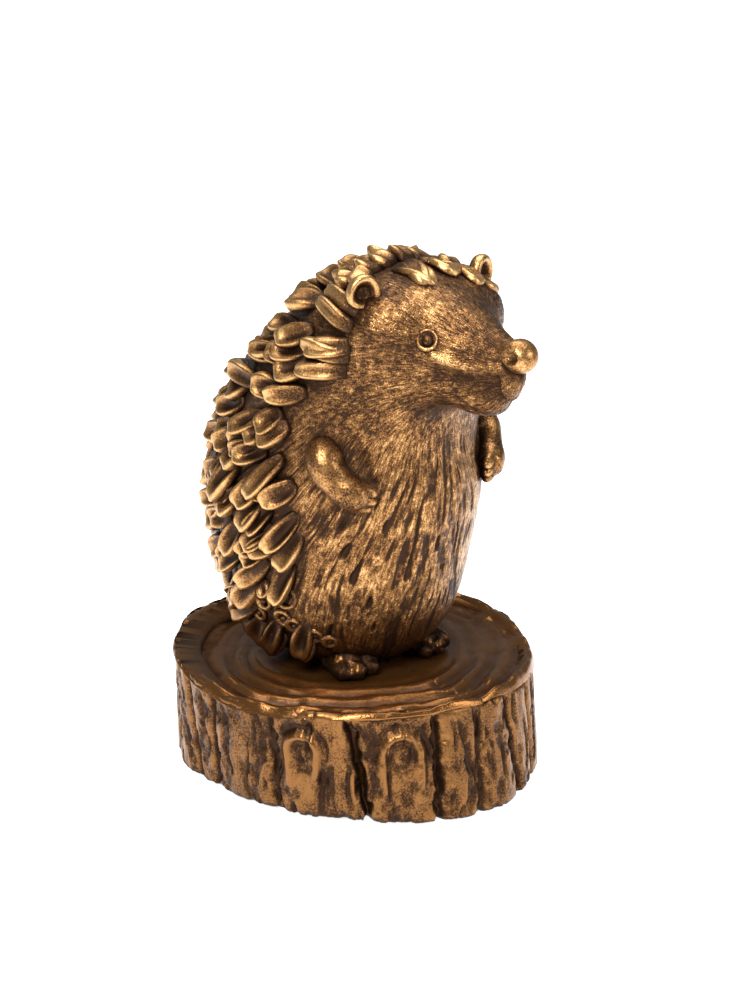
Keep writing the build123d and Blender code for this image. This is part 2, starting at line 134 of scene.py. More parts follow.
def bell(values: Array, middle: float, width: float) -> Array:
    """A bump of height 1 at the middle: e to the minus square of the offset over the width."""
    return np.exp(-(((values - middle) / width) ** 2))


def through(share: Array, shares: Sequence[float], values: Sequence[float]) -> Array:
    """Cubic Hermite curve through a table, read at many shares at once.

    The slope at a point is the rise from its neighbour below to the one above.

    Args:
        share: where the table is read.
        shares: the table's places, rising.
        values: the table's values.

    Returns:
        The values of the curve, in the shape of share.
    """
    s = np.asarray(shares, float)
    v = np.asarray(values, float)
    low = np.maximum(np.arange(len(s)) - 1, 0)
    high = np.minimum(np.arange(len(s)) + 1, len(s) - 1)
    slope = (v[high] - v[low]) / (s[high] - s[low])
    x = np.clip(share, s[0], s[-1])
    k = np.clip(np.searchsorted(s, x, side="right") - 1, 0, len(s) - 2)
    width = s[k + 1] - s[k]
    t = (x - s[k]) / width
    ease = t * t * (3 - 2 * t)
    bend = t * (1 - t) * width * ((1 - t) * slope[k] - t * slope[k + 1])
    return v[k] + ease * (v[k + 1] - v[k]) + bend


def value_noise(cells: Array, seed: int) -> Array:
    """Smooth random values from 0 to 1, with one drawn value at each whole number.

    Args:
        cells: points whose unit is one lattice cell, with 3 numbers each.
        seed: which field of values is read.

    Returns:
        One value for each point.
    """
    base = np.floor(cells).astype(np.int64)
    part = cells - base
    part = part * part * (3 - 2 * part)
    total = np.zeros(cells.shape[:-1])
    for corner in range(8):
        step = np.array([corner & 1, corner >> 1 & 1, corner >> 2 & 1])
        at = (base + step).astype(np.uint64)
        key = at[..., 0] * np.uint64(73856093) ^ at[..., 1] * np.uint64(19349663)
        key = key ^ at[..., 2] * np.uint64(83492791) ^ np.uint64(seed * 2654435761)
        key = (key ^ key >> np.uint64(13)) * np.uint64(1274126177)
        key = (key ^ key >> np.uint64(16)) & np.uint64(0xFFFF)
        weight = np.prod(np.where(step, part, 1 - part), axis=-1)
        total += weight * key / 65535.0
    return total


def layered_noise(cells: Array, seed: int, layers: int = 3) -> Array:
    """Value noise in layers, each half as coarse and half as strong as the last.

    Args:
        cells: points whose unit is one cell of the coarsest layer.
        seed: which field of values is read.
        layers: how many layers are added.

    Returns:
        One value from 0 to 1 for each point.
    """
    total = np.zeros(cells.shape[:-1])
    strength = 0.0
    for layer in range(layers):
        gain = 0.5**layer
        total += gain * value_noise(cells * 2.0**layer, seed + 17 * layer)
        strength += gain
    return total / strength


def egg(p: Array, centre: Sequence[float], radii: Sequence[float]) -> Array:
    """Field of an ellipsoid: the point's length in radii less one, times the least radius."""
    return (np.linalg.norm((p - np.array(centre)) / np.array(radii), axis=-1) - 1) * min(radii)


def rod(p: Array, start: Sequence[float], end: Sequence[float], radius: float, tip: float) -> Array:
    """Field of a round-ended rod: distance to its line, less a radius that shrinks to the tip's.

    Args:
        p: points, with 3 numbers each.
        start: one end of its line.
        end: the other end.
        radius: radius at the start.
        tip: radius at the end.

    Returns:
        One value for each point, below zero inside.
    """
    a, b = np.array(start, float), np.array(end, float)
    share = np.clip((p - a) @ (b - a) / ((b - a) @ (b - a)), 0, 1)
    return np.linalg.norm(p - a - share[..., None] * (b - a), axis=-1) - radius - (tip - radius) * share


def blend_min(first: Array, second: Array, reach: float) -> Array:
    """The smaller of two fields, rounded where they are within reach of each other."""
    near = np.maximum(reach - np.abs(first - second), 0) / reach
    return np.minimum(first, second) - near * near * reach / 4


# meshes


def grid_faces(rows: int, columns: int, ring: bool = False) -> list:
    """Faces of a tube of rows and columns whose ends close on two poles, or on each other.

    The grid's points come first, row after row, then the pole before the first
    row and the pole after the last.

    Args:
        rows: number of rows of points.
        columns: number of points in each closed row.
        ring: whether the last row joins the first, and there are no poles.

    Returns:
        A list of quads and triangles as lists of point numbers.
    """
    numbers = np.arange(rows * columns).reshape(rows, columns)
    if ring:
        numbers = np.concatenate([numbers, numbers[:1]])
    after = np.roll(numbers, -1, axis=1)
    quads = np.stack([numbers[:-1], after[:-1], after[1:], numbers[1:]], axis=-1).reshape(-1, 4)
    if ring:
        return quads.tolist()
    first = np.full(columns, rows * columns)
    start = np.stack([first, after[0], numbers[0]], axis=-1)
    end = np.stack([first + 1, numbers[-1], after[-1]], axis=-1)
    return quads.tolist() + start.tolist() + end.tolist()


@dataclass
class Shell:
    """Closed surface: a tube of grid points with a pole at each end, or a ring with none.

    points are (rows, columns, 3), poles (2, 3) or (0, 3), and relief says for each grid point
    how high it stands in its surroundings, from 0 in a crevice to 1 on a ridge. lie gives
    the lengths in mm across and along the hair, where the piece has hair.
    """

    points: Array
    poles: Array
    relief: Array
    lie: Optional[Array] = None

    def flat(self) -> tuple[Array, Array, Array]:
        """All points as one list, and the relief and lie of each.

        Returns:
            Points, their relief and their lie.
        """
        lie = np.zeros_like(self.points) if self.lie is None else self.lie
        every, hair = [np.concatenate([values.reshape(-1, 3), values[[0, -1], 0][:len(self.poles)]])
                       for values in (self.points, lie)]
        ends = np.array([self.relief[0].mean(), self.relief[-1].mean()])[:len(self.poles)]
        every[len(every) - len(self.poles):] = self.poles
        return every, np.concatenate([self.relief.ravel(), ends]), hair

    def volume_sign(self) -> float:
        """Above zero where the faces point outwards, by the sum of signed tetrahedra.

        Returns:
            About six times the volume, with its sign.
        """
        p = self.points
        if not len(self.poles):
            p = np.concatenate([p, p[:1]])
        q = np.roll(p, -1, axis=1)
        low, high = p[:-1], p[1:]
        low_next, high_next = q[:-1], q[1:]
        centre = p.reshape(-1, 3).mean(0)
        a, b, c, d = low - centre, low_next - centre, high_next - centre, high - centre
        return float((np.cross(a, b) * c).sum() + (np.cross(a, c) * d).sum())


def make_object(name: str, shells: Sequence[Shell], subdivision: int = 0) -> bpy.types.Object:
    """One Blender object from closed shells, with relief and lie as attributes.

    Args:
        name: the piece's name.
        shells: the closed surfaces it is made of.
        subdivision: levels of a Subdivision Surface modifier.

    Returns:
        The object, at the origin, linked to the scene.
    """
    vertices: list[Array] = []
    reliefs: list[Array] = []
    lies: list[Array] = []
    faces: list = []
    offset = 0
    for shell in shells:
        every, relief, lie = shell.flat()
        part = grid_faces(*shell.points.shape[:2], ring=not len(shell.poles))
        inward = shell.volume_sign() < 0
        faces.extend([[offset + k for k in (f[::-1] if inward else f)] for f in part])
        vertices.append(every)
        reliefs.append(relief)
        lies.append(lie)
        offset += len(every)
    mesh = bpy.data.meshes.new(name)
    mesh.from_pydata((np.concatenate(vertices) * MM).tolist(), [], faces)
    mesh.attributes.new("relief", "FLOAT", "POINT").data.foreach_set(
        "value", np.concatenate(reliefs).astype(np.float32))
    if shells[0].lie is not None:
        mesh.attributes.new("lie", "FLOAT_VECTOR", "POINT").data.foreach_set(
            "vector", np.concatenate(lies).astype(np.float32).ravel())
    mesh.polygons.foreach_set("use_smooth", [True] * len(mesh.polygons))
    mesh.update()
    piece = bpy.data.objects.new(name, mesh)
    bpy.context.scene.collection.objects.link(piece)
    if subdivision:
        modifier = piece.modifiers.new("round", "SUBSURF")
        modifier.levels = subdivision
        modifier.render_levels = subdivision
    LOG.info("%s: %d faces", name, len(mesh.polygons))
    return piece


def put(name: str, shells: Sequence[Shell], material: bpy.types.Material, nodes: Iterable[str],
        subdivision: int = 0) -> None:
    """Makes a piece from shells, gives it its material and its place in the frame, and hides the frame's
    nodes that it stands for.

    Args:
        name: the piece's name.
        shells: the closed surfaces it is made of.
        material: its finish.
        nodes: the frame's nodes that it stands for.
        subdivision: levels of a Subdivision Surface modifier.
    """
    piece = make_object(name, shells, subdivision)
    piece.data.materials.append(material)
    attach(piece, "root")
    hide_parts(*nodes)


# finishes


def linear(code: str) -> tuple[float, float, float, float]:
    """Linear colour from an sRGB hex value.

    Args:
        code: the value, such as #C99F68.

    Returns:
        Red, green, blue and alpha from 0 to 1.
    """
    parts = [int(code[k:k + 2], 16) / 255 for k in (1, 3, 5)]
    made = [p / 12.92 if p <= 0.04045 else ((p + 0.055) / 1.055) ** 2.4 for p in parts]
    return made[0], made[1], made[2], 1.0


def add(tree: bpy.types.NodeTree, kind: str, settings: Optional[dict] = None,
        links: Optional[dict] = None) -> bpy.types.Node:
    """Adds a node, sets its properties and sockets, and links its inputs.

    Args:
        tree: the node tree it goes in.
        kind: the node's type.
        settings: property names, or socket names and numbers, and their values.
        links: socket names or numbers, and the outputs that feed them.

    Returns:
        The node.
    """
    node = tree.nodes.new(kind)
    for key, value in (settings or {}).items():
        if isinstance(key, str) and hasattr(node, key):
            setattr(node, key, value)
        else:
            node.inputs[key].default_value = value
    for key, output in (links or {}).items():
        tree.links.new(output, node.inputs[key])
    return node


def blank(name: str) -> tuple[bpy.types.Material, bpy.types.NodeTree, bpy.types.Node]:
    """A new material, its node tree and its Principled shader.

    Args:
        name: the material's name.

    Returns:
        The material, its tree and its shader.
    """
    made = bpy.data.materials.new(name)
    made.use_nodes = True
    return made, made.node_tree, made.node_tree.nodes["Principled BSDF"]


@dataclass(frozen=True)
class GiltFinish:
    """Antique gilding on cast polyresin: metal paint rubbed over a dark brown wash.

    The wash stays in the crevices and the gold on the high spots, so the colour
    follows the relief, with grainy edges where the brush skipped. Occlusion takes
    gold away in crevices, gaps and under parts, painted shade as well as wash; the
    highest spots turn to a paler gold, a painted highlight; and towards the bottom
    a browner gold takes over, painted shade on the lower body. Lengths in mm.
    """

    name: str
    wash: str = "#2F1C0D"
    gold: str = "#8C6238"
    # Paler gold on the highest spots: a painted highlight
    highlight_gold: str = "#C99F68"
    # Browner gold that takes over from the first of the two heights down to the second: painted shade on the
    # lower body; the stump lies below and takes it as its colour
    glaze: str = "#6A4420"
    lower_gold_levels: tuple = (46.0, 28.0)
    rubbed: float = 0.46
    softness: float = 0.4
    speckle_size: float = 0.42
    speckle: float = 1.5
    blotch_size: float = 5.0
    blotch: float = 0.4
    strand_size: tuple = (0.36, 4.0)
    strand: float = 0.0
    # Reach and weight of the occlusion that darkens crevices, gaps and under parts: painted shade, as well as
    # the wash there
    crevice_reach: float = 3.5
    crevice: float = 1.0
    grain_depth: float = 0.1
    wash_roughness: float = 0.5
    gold_roughness: float = 0.38
    wash_metal: float = 0.85
    gold_metal: float = 0.9
    # How far above the threshold the painted highlight starts and where it is full
    highlight_levels: tuple = (0.1, 0.6)
    strand_bump: float = 1.6
    air_samples: int = 8

    def material(self) -> bpy.types.Material:
        """Builds the node tree.

        The cover of gold is relief + speckle + blotch + strand + occlusion, each times
        its own weight, set against one threshold. Occlusion there is painted shade in
        crevices, gaps and under parts; the paler gold on the highest spots is a painted
        highlight, and the browner gold towards the bottom is painted shade.

        Returns:
            A material that reads the piece's relief and lie attributes and Object coordinates.
        """
        made, tree, shader = blank(self.name)
        place = add(tree, "ShaderNodeTexCoord").outputs["Object"]
        relief = add(tree, "ShaderNodeAttribute", {"attribute_name": "relief"}).outputs["Fac"]
        speckle, blotch = (add(tree, "ShaderNodeTexNoise",
                               {"Scale": 1 / (size * MM), "Detail": detail, "Roughness": 0.6},
                               {"Vector": place}).outputs["Fac"]
                           for size, detail in ((self.speckle_size, 2.0), (self.blotch_size, 4.0)))
        # Ambient occlusion lowers the gold in crevices, gaps and under parts: painted shade, as well as the
        # wash that lies there
        occlusion_shade = add(tree, "ShaderNodeAmbientOcclusion",
                       {"samples": self.air_samples, "Distance": self.crevice_reach * MM}).outputs["AO"]
        terms = [(speckle, self.speckle), (blotch, self.blotch), (occlusion_shade, self.crevice)]
        uneven = speckle
        if self.strand:
            lie = add(tree, "ShaderNodeAttribute", {"attribute_name": "lie"}).outputs["Vector"]
            drawn = add(tree, "ShaderNodeVectorMath",
                        {"operation": "MULTIPLY", 1: (1 / self.strand_size[0], 1 / self.strand_size[1], 1)},
                        {0: lie}).outputs["Vector"]
            strand = add(tree, "ShaderNodeTexNoise", {"Scale": 1.0, "Detail": 2.0, "Roughness": 0.55},
                         {"Vector": drawn}).outputs["Fac"]
            terms.append((strand, self.strand))
            uneven = add(tree, "ShaderNodeMath", {"operation": "MULTIPLY_ADD", 1: self.strand_bump},
                         {0: strand, 2: speckle}).outputs[0]
        height = relief
        for term, weight in terms:
            height = add(tree, "ShaderNodeMath", {"operation": "MULTIPLY_ADD", 1: weight},
                         {0: term, 2: height}).outputs[0]
        middle = self.rubbed + 0.5 * (self.speckle + self.blotch + self.strand) + self.crevice
        level = add(tree, "ShaderNodeSeparateXYZ", {}, {"Vector": place}).outputs["Z"]
        high, low = self.lower_gold_levels
        cover, highlight_share, lower_share = (add(tree, "ShaderNodeMapRange",
                                   {"interpolation_type": "SMOOTHSTEP", "From Min": start, "From Max": end},
                                   {"Value": value}).outputs["Result"]
                               for value, start, end in (
                                   (height, middle - self.softness / 2, middle + self.softness / 2),
                                   (height, middle + self.highlight_levels[0], middle + self.highlight_levels[1]),
                                   (level, high * MM, low * MM)))
        # lit mixes in the paler gold on the highest spots: a painted highlight
        lit = add(tree, "ShaderNodeMix", {"data_type": "RGBA", 6: linear(self.gold), 7: linear(self.highlight_gold)},
                  {0: highlight_share}).outputs[2]
        # warm turns the gold browner towards the bottom: painted shade on the lower body
        warm = add(tree, "ShaderNodeMix", {"data_type": "RGBA", 7: linear(self.glaze)},
                   {0: lower_share, 6: lit}).outputs[2]
        painted = add(tree, "ShaderNodeMix", {"data_type": "RGBA", 6: linear(self.wash)},
                      {0: cover, 7: warm}).outputs[2]
        metal, rough = (add(tree, "ShaderNodeMapRange", {"To Min": low_end, "To Max": high_end},
                            {"Value": cover}).outputs["Result"]
                        for low_end, high_end in ((self.wash_metal, self.gold_metal),
                                                  (self.wash_roughness, self.gold_roughness)))
        bump = add(tree, "ShaderNodeBump", {"Strength": BUMP_STRENGTH, "Distance": self.grain_depth * MM},
                   {"Height": uneven}).outputs["Normal"]
        for socket, output in (("Base Color", painted), ("Metallic", metal), ("Roughness", rough),
                               ("Normal", bump)):
            tree.links.new(output, shader.inputs[socket])
        return made


# Polyresin gilded and then washed: satin, grainy, gold on the ridges of the fur
FUR_GILT = GiltFinish("gilded_polyresin_fur", gold="#835A32", rubbed=0.47, softness=0.6, speckle=1.2,
                      speckle_size=0.33, blotch=0.5, strand=1.3, grain_depth=0.2, gold_roughness=0.24)
# The same gilding on the quills, where the wash lies in every dish and gap, with strong occlusion adding
# painted shade in the gaps between them
QUILL_GILT = GiltFinish("gilded_polyresin_quills", rubbed=0.5, softness=0.45, speckle=1.0,
                        crevice_reach=2.6, crevice=1.4, gold_roughness=0.32)
# Gilding rubbed bright and smooth by fingers on paws, nose and ears
DETAIL_GILT = GiltFinish("gilded_polyresin_rubbed", rubbed=0.54, speckle=1.3, blotch=0.5, gold_roughness=0.3)
# A browner finish on the annual rings, smoother and glossier than the fur, with a paler painted highlight
# where the lip rises into it
RING_GILT = GiltFinish("glazed_polyresin_rings", wash="#4A2C12", gold="#8E6134", highlight_gold="#D0A268",
                       glaze="#80552C", rubbed=0.33, softness=0.6, speckle=1.0, grain_depth=0.1,
                       wash_roughness=0.22, gold_roughness=0.17, wash_metal=0.6, gold_metal=0.85)
# Dry-brushed gold over bark relief, blotchy, with dark wash in pits and grooves, and occlusion adding painted
# shade there
BARK_GILT = GiltFinish("gilded_polyresin_bark", glaze="#7A532D", rubbed=0.42, softness=0.8, speckle=1.9,
                       blotch=0.6, blotch_size=3.4, crevice=1.3, crevice_reach=2.5, gold_roughness=0.3)


@dataclass(frozen=True)
class FeltFinish:
    """Pressed wool felt: matt and fibrous, with a soft sheen at grazing angles."""

    name: str = "pressed_felt"
    dark: str = "#16301D"
    pale: str = "#2C4F33"
    fibre: float = 0.35
    fibre_depth: float = 0.15
    roughness: float = 0.95
    sheen: float = 0.3

    def material(self) -> bpy.types.Material:
        """Two greens mixed by fibre-sized noise, with fibre bump.

        Returns:
            A material that reads Object coordinates.
        """
        made, tree, shader = blank(self.name)
        shader.inputs["Roughness"].default_value = self.roughness
        shader.inputs["Sheen Weight"].default_value = self.sheen
        place = add(tree, "ShaderNodeTexCoord").outputs["Object"]
        fibres = add(tree, "ShaderNodeTexNoise", {"Scale": 1 / (self.fibre * MM), "Detail": 3.0},
                     {"Vector": place}).outputs["Fac"]
        colour = add(tree, "ShaderNodeMix", {"data_type": "RGBA", 6: linear(self.dark), 7: linear(self.pale)},
                     {0: fibres}).outputs[2]
        bump = add(tree, "ShaderNodeBump", {"Strength": BUMP_STRENGTH, "Distance": self.fibre_depth * MM},
                   {"Height": fibres})
        tree.links.new(colour, shader.inputs["Base Color"])
        tree.links.new(bump.outputs["Normal"], shader.inputs["Normal"])
        return made


@dataclass(frozen=True)
class DowelFinish:
    """Drawn steel rod: bright metal with fine lines along its length."""

    name: str = "drawn_steel"
    colour: str = "#C4C4C6"
    line: float = 0.12
    stretch: float = 0.02
    roughness: tuple = (0.22, 0.38)

    def material(self) -> bpy.types.Material:
        """Steel whose roughness varies in lines that run along +Z.

        Returns:
            A material that reads Object coordinates.
        """
        made, tree, shader = blank(self.name)
        shader.inputs["Base Color"].default_value = linear(self.colour)
        shader.inputs["Metallic"].default_value = 1.0
        place = add(tree, "ShaderNodeTexCoord").outputs["Object"]
        along = add(tree, "ShaderNodeMapping", {"Scale": (1.0, 1.0, self.stretch)}, {"Vector": place})
        lines = add(tree, "ShaderNodeTexNoise", {"Scale": 1 / (self.line * MM)},
                    {"Vector": along.outputs[0]}).outputs["Fac"]
        low, high = self.roughness
        rough = add(tree, "ShaderNodeMapRange", {"To Min": low, "To Max": high},
                    {"Value": lines}).outputs["Result"]
        tree.links.new(rough, shader.inputs["Roughness"])
        return made


# the hedgehog's form


@dataclass(frozen=True)
class HedgehogForm:
    """The smooth form under fur and quills, as a field that is below zero inside."""

    seat: float = 27.5
    height: float = 101.5
    half_width: float = 31.2
    half_depth: float = 34.7
    lean: float = 20.0
    snout_root: float = 10.0
    snout_length: float = 43.2
    snout_half_width: float = 20.5
    snout_half_height: float = 15.0
    snout_level: float = 110.5
    snout_sag: float = 2.0
    blend: float = 6.0
    neck_level: float = 94.0
    neck_slope: float = 0.2
    levels: tuple = (0.0, 0.054, 0.102, 0.156, 0.22, 0.317, 0.415, 0.493, 0.561, 0.659,
                     0.746, 0.805, 0.873, 0.922, 0.961, 0.985, 0.997)
    widths: tuple = (0.48, 0.67, 0.78, 0.85, 0.904, 0.968, 1.0, 1.0, 0.968, 0.904,
                     0.849, 0.785, 0.673, 0.545, 0.385, 0.192, 0.064)
    depths: tuple = (0.43, 0.63, 0.755, 0.836, 0.9, 0.963, 1.0, 0.994, 0.945, 0.91,
                     0.873, 0.778, 0.62, 0.461, 0.317, 0.159, 0.053)
    shifts: tuple = (0.2, 0.225, 0.25, 0.26, 0.28, 0.28, 0.225, 0.2, 0.15, 0.025,
                     -0.125, -0.3, -0.575, -0.775, -0.9, -0.975, -1.0)
    reaches: tuple = (0.0, 0.324, 0.509, 0.671, 0.81, 0.926, 1.0)
    snout_widths: tuple = (1.0, 0.94, 0.707, 0.52, 0.38, 0.28, 0.19)
    snout_heights: tuple = (0.967, 1.0, 0.92, 0.83, 0.74, 0.62, 0.42)
    snout_shifts: tuple = (0.0, 0.4, 0.3, -0.1, -1.0, -1.2, -0.5)
    brow_place: tuple = (10.0, -25.0, 116.0)
    brow_size: tuple = (10.8, 10.0, 8.6)
    lip_place: tuple = (0.0, -51.6, 107.8)
    lip_size: tuple = (4.2, 4.6, 4.8)
    brow_blend: float = 4.0
    lip_blend: float = 3.0
    slope_step: float = 0.05
    stride: float = 1.5
    strides: int = 54
    halvings: int = 9

    def oval(self, level: Array) -> tuple[Array, Array, Array]:
        """Half width, half depth and centre along Y of the body at a height.

        Args:
            level: heights.

        Returns:
            The three lengths, in the shape of the heights.
        """
        share = (level - self.seat) / self.height
        wide = self.half_width * through(share, self.levels, self.widths)
        deep = self.half_depth * through(share, self.levels, self.depths)
        return wide, deep, self.lean * through(share, self.levels, self.shifts)

    def body(self, p: Array) -> Array:
        """Field of the body: how far the oval at the point's height is left behind.

        Args:
            p: points, with 3 numbers each.

        Returns:
            One value for each point, below zero inside.
        """
        wide, deep, centre = self.oval(p[..., 2])
        across = np.hypot(p[..., 0] / wide, (p[..., 1] - centre) / deep) - 1
        top = p[..., 2] - self.seat - self.height * self.levels[-1]
        return np.maximum(across * np.minimum(wide, deep), top)

    def snout_oval(self, p: Array) -> tuple[Array, Array, Array]:
        """Share of the snout's length, a point's excess over the oval there, and its least radius.

        Args:
            p: points, with 3 numbers each.

        Returns:
            The three values, in the shape of the points.
        """
        share = (-p[..., 1] - self.snout_root) / self.snout_length
        wide = self.snout_half_width * through(share, self.reaches, self.snout_widths)
        tall = self.snout_half_height * through(share, self.reaches, self.snout_heights)
        centre = self.snout_level + self.snout_sag * through(share, self.reaches, self.snout_shifts)
        excess = np.hypot(p[..., 0] / wide, (p[..., 2] - centre) / tall) - 1
        return share, excess, np.minimum(wide, tall)

    def snout(self, p: Array) -> Array:
        """Field of the snout: ovals along -Y between two flat ends.

        Args:
            p: points, with 3 numbers each.

        Returns:
            One value for each point, below zero inside.
        """
        _, excess, least = self.snout_oval(p)
        before = -p[..., 1] - self.snout_root - self.snout_length
        behind = p[..., 1] + self.snout_root
        return np.maximum(excess * least, np.maximum(before, behind))

    def snout_excess(self, p: Array) -> Array:
        """How far outside the snout's oval a point lies, as a share of the oval."""
        share, excess, _ = self.snout_oval(p)
        return np.where((share <= 0) | (share >= 1), 1.0, excess)

    def field(self, p: Array) -> Array:
        """Field of the whole form: body, snout, brows and lip with rounded valleys between them.

        Args:
            p: points, with 3 numbers each.

        Returns:
            One value for each point, below zero inside.
        """
        brow = egg(folded(p), self.brow_place, self.brow_size)
        lip = egg(p, self.lip_place, self.lip_size)
        trunk = blend_min(self.body(p), self.snout(p), self.blend)
        return blend_min(blend_min(trunk, brow, self.brow_blend), lip, self.lip_blend)

    def normals(self, p: Array, of: Optional[Callable[[Array], Array]] = None) -> Array:
        """Outward normals: the field's slope by central differences.

        Args:
            p: points, with 3 numbers each.
            of: the field, the whole form's where none is given.

        Returns:
            One unit vector for each point.
        """
        read = of or self.field
        slopes = [read(p + axis) - read(p - axis) for axis in np.eye(3) * self.slope_step]
        return unit(np.stack(slopes, axis=-1))

    def settle(self, p: Array) -> tuple[Array, Array]:
        """Points near the skin moved onto it, and the normals they had."""
        normal = self.normals(p)
        return p - normal * self.field(p)[..., None], normal

    def skin(self, start: Array, way: Array, of: Optional[Callable[[Array], Array]] = None) -> Array:
        """First points of the skin from starts inside, by steps and then bisection.

        Args:
            start: points inside the form.
            way: unit directions.
            of: the field, the whole form's where none is given.

        Returns:
            Points on the skin, in the shape of the starts.
        """
        read = of or self.field
        near = np.zeros(way.shape[:-1])
        found = np.full(way.shape[:-1], False)
        for _ in range(self.strides):
            found |= read(start + way * (near + self.stride)[..., None]) > 0
            near = np.where(found, near, near + self.stride)
        far = near + self.stride
        for _ in range(self.halvings):
            half = (near + far) / 2
            inside = read(start + way * half[..., None]) < 0
            near = np.where(inside, half, near)
            far = np.where(inside, far, half)
        return start + way * far[..., None]

    def above_neck(self, p: Array) -> Array:
        """Millimetres above the joint between torso and head, which falls towards the throat."""
        return p[..., 2] - self.neck_level - self.neck_slope * p[..., 1]


# quills


@dataclass(frozen=True)
class QuillSpot:
    """Where one quill stands: its foot on the skin, the normal and the way it points."""

    point: Array
    normal: Array
    flow: Array


@dataclass
class QuillLayout:
    """Rows of quills from the face to the rump, laid as the frame's own are."""

    form: HedgehogForm
    middle_share: float = 0.463
    rump_angle: float = -45.0
    face_angle: float = 115.0
    lower_face_angle: float = 100.0
    pitch: float = 6.7
    step: float = 6.8
    rows: int = 60
    last_row: int = 5
    snout_margin: float = 0.1
    seat_margin: float = 9.5
    ear_place: tuple = (18.0, -22.0, 125.55)
    ear_room: float = 6.2
    fringe_margin: float = 9.0
    curl_way: tuple = (1.0, -0.16, -0.97)
    curl_room: float = 7.05
    arm_room: float = 7.6
    bands: tuple = (0.345, 0.5, 0.63, 0.785, 0.92)
    middle_band: float = 0.36
    arm_line: Array = field(default_factory=lambda: np.zeros((0, 3)))

    def spots(self) -> list[QuillSpot]:
        """Walks the rows and keeps each place that is clear of those taken.

        Returns:
            The spots, right side and left side alike.
        """
        middle = np.array([0, 0, self.form.seat + self.middle_share * self.form.height])
        tilt = math.radians(self.rump_angle)
        rump = np.array([0, math.cos(tilt), math.sin(tilt)])
        up = np.array([0, -math.sin(tilt), math.cos(tilt)])
        side = np.array([1.0, 0, 0])
        ways = []
        for row in range(self.rows, self.last_row, -1):
            polar = math.pi * row / self.rows
            turns = max(2, round(self.rows * math.sin(polar)))
            turn = math.pi * np.arange(turns + 1) / turns
            outward = np.cos(turn)[:, None] * up + np.sin(turn)[:, None] * side
            ways.append(rump * math.cos(polar) + outward * math.sin(polar))
        way = unit(np.concatenate(ways))
        drop = np.maximum(0, -way[:, 2])
        limit = self.face_angle + (self.lower_face_angle - self.face_angle) * drop
        way = way[np.degrees(np.arccos(np.clip(way[:, 1], -1, 1))) < limit]
        point = self.form.skin(np.broadcast_to(middle, way.shape), way, self.form.body)
        normal = self.form.normals(point, self.form.body)
        keep = self.clear(point, middle)
        point, normal = point[keep], normal[keep]
        flow = unit(rump - normal * (normal @ rump)[:, None])
        mirror = np.array([-1.0, 1, 1])
        taken: list[QuillSpot] = []
        for here, out, along in zip(point, normal, flow):
            new = [QuillSpot(here, out, along)]
            if here[0] > self.pitch / 100:
                new.append(QuillSpot(here * mirror, out * mirror, along * mirror))
            if all(self.free(spot, taken) for spot in new) and self.free(new[0], new[1:]):
                taken.extend(new)
        return taken

    def clear(self, point: Array, middle: Array) -> Array:
        """Which points are clear of the stump, the snout, the ears, the curls and the arms.

        Args:
            point: feet on the skin, (n, 3).
            middle: the point from which the rows are laid.

        Returns:
            One True or False for each point.
        """
        ear = np.array(self.ear_place)
        keep = (point[:, 2] > self.form.seat + self.seat_margin) & (point[:, 1] > ear[1] + self.fringe_margin)
        keep &= self.form.snout_excess(point) > self.snout_margin
        way = unit(np.array(self.curl_way))[None]
        curl = self.form.skin(middle[None], way, self.form.body)[0]
        rooms = [(ear, self.ear_room), (curl, self.curl_room)]
        rooms += [(place, self.arm_room) for place in self.arm_line]
        for place, room in rooms:
            keep &= np.linalg.norm(folded(point) - place, axis=1) > room
        return keep

    def free(self, spot: QuillSpot, taken: Sequence[QuillSpot]) -> bool:
        """Whether no taken spot lies in the oval of one pitch by one step round this one.

        Args:
            spot: the spot to place.
            taken: spots that are placed.

        Returns:
            True where the spot can be placed.
        """
        if not taken:
            return True
        gap = np.array([other.point for other in taken]) - spot.point
        across = np.cross(spot.normal, spot.flow)
        along = np.hypot(gap @ spot.flow, gap @ spot.normal) / self.step
        return bool(np.all(np.hypot(along, gap @ across / self.pitch) >= 1))

    def region(self, point: Array) -> str:
        """Name of the node that a quill at this point belongs to.

        Args:
            point: foot of the quill.

        Returns:
            The frame's node name.
        """
        share = (point[2] - self.form.seat) / self.form.height
        band = sum(share > level for level in self.bands)
        if abs(point[0]) < self.middle_band * self.form.half_width:
            return ("rump", "lower_back", "middle_back", "upper_back", "nape", "crown")[band] + "_quills"
        side = "right_" if point[0] < 0 else "left_"
        return side + ("haunch", "flank", "side", "shoulder", "temple", "temple")[band] + "_quills"


@dataclass(frozen=True)
class LobeStyle:
    """Shape of a cast leaf. Lengths in mm, the rest as shares of its own size."""

    length: float = 11.0
    width: float = 6.3
    height: float = 2.9
    dish: float = 0.8
    lift: float = 0.19
    root: float = 0.6
    sink: float = 0.9
    comb: float = 0.22
    ridges: float = 0.7
    lumps: float = 1.0
    lump_size: float = 2.4
    turn: float = 24.0
    spread: float = 0.2
    bend: float = 0.07
    wide_from: float = 0.6
    close_from: float = 0.66
    high_from: float = 0.7
    rim_place: float = 0.66
    rim_bulge: float = 0.3
    dish_half: float = 0.72
    arch: float = 0.3
    slant: float = 0.25
    under_relief: float = 0.2
    top_relief: float = 0.95
    tip_relief: float = 0.25
    rows: int = 8
    top_columns: int = 9
    under_columns: int = 4


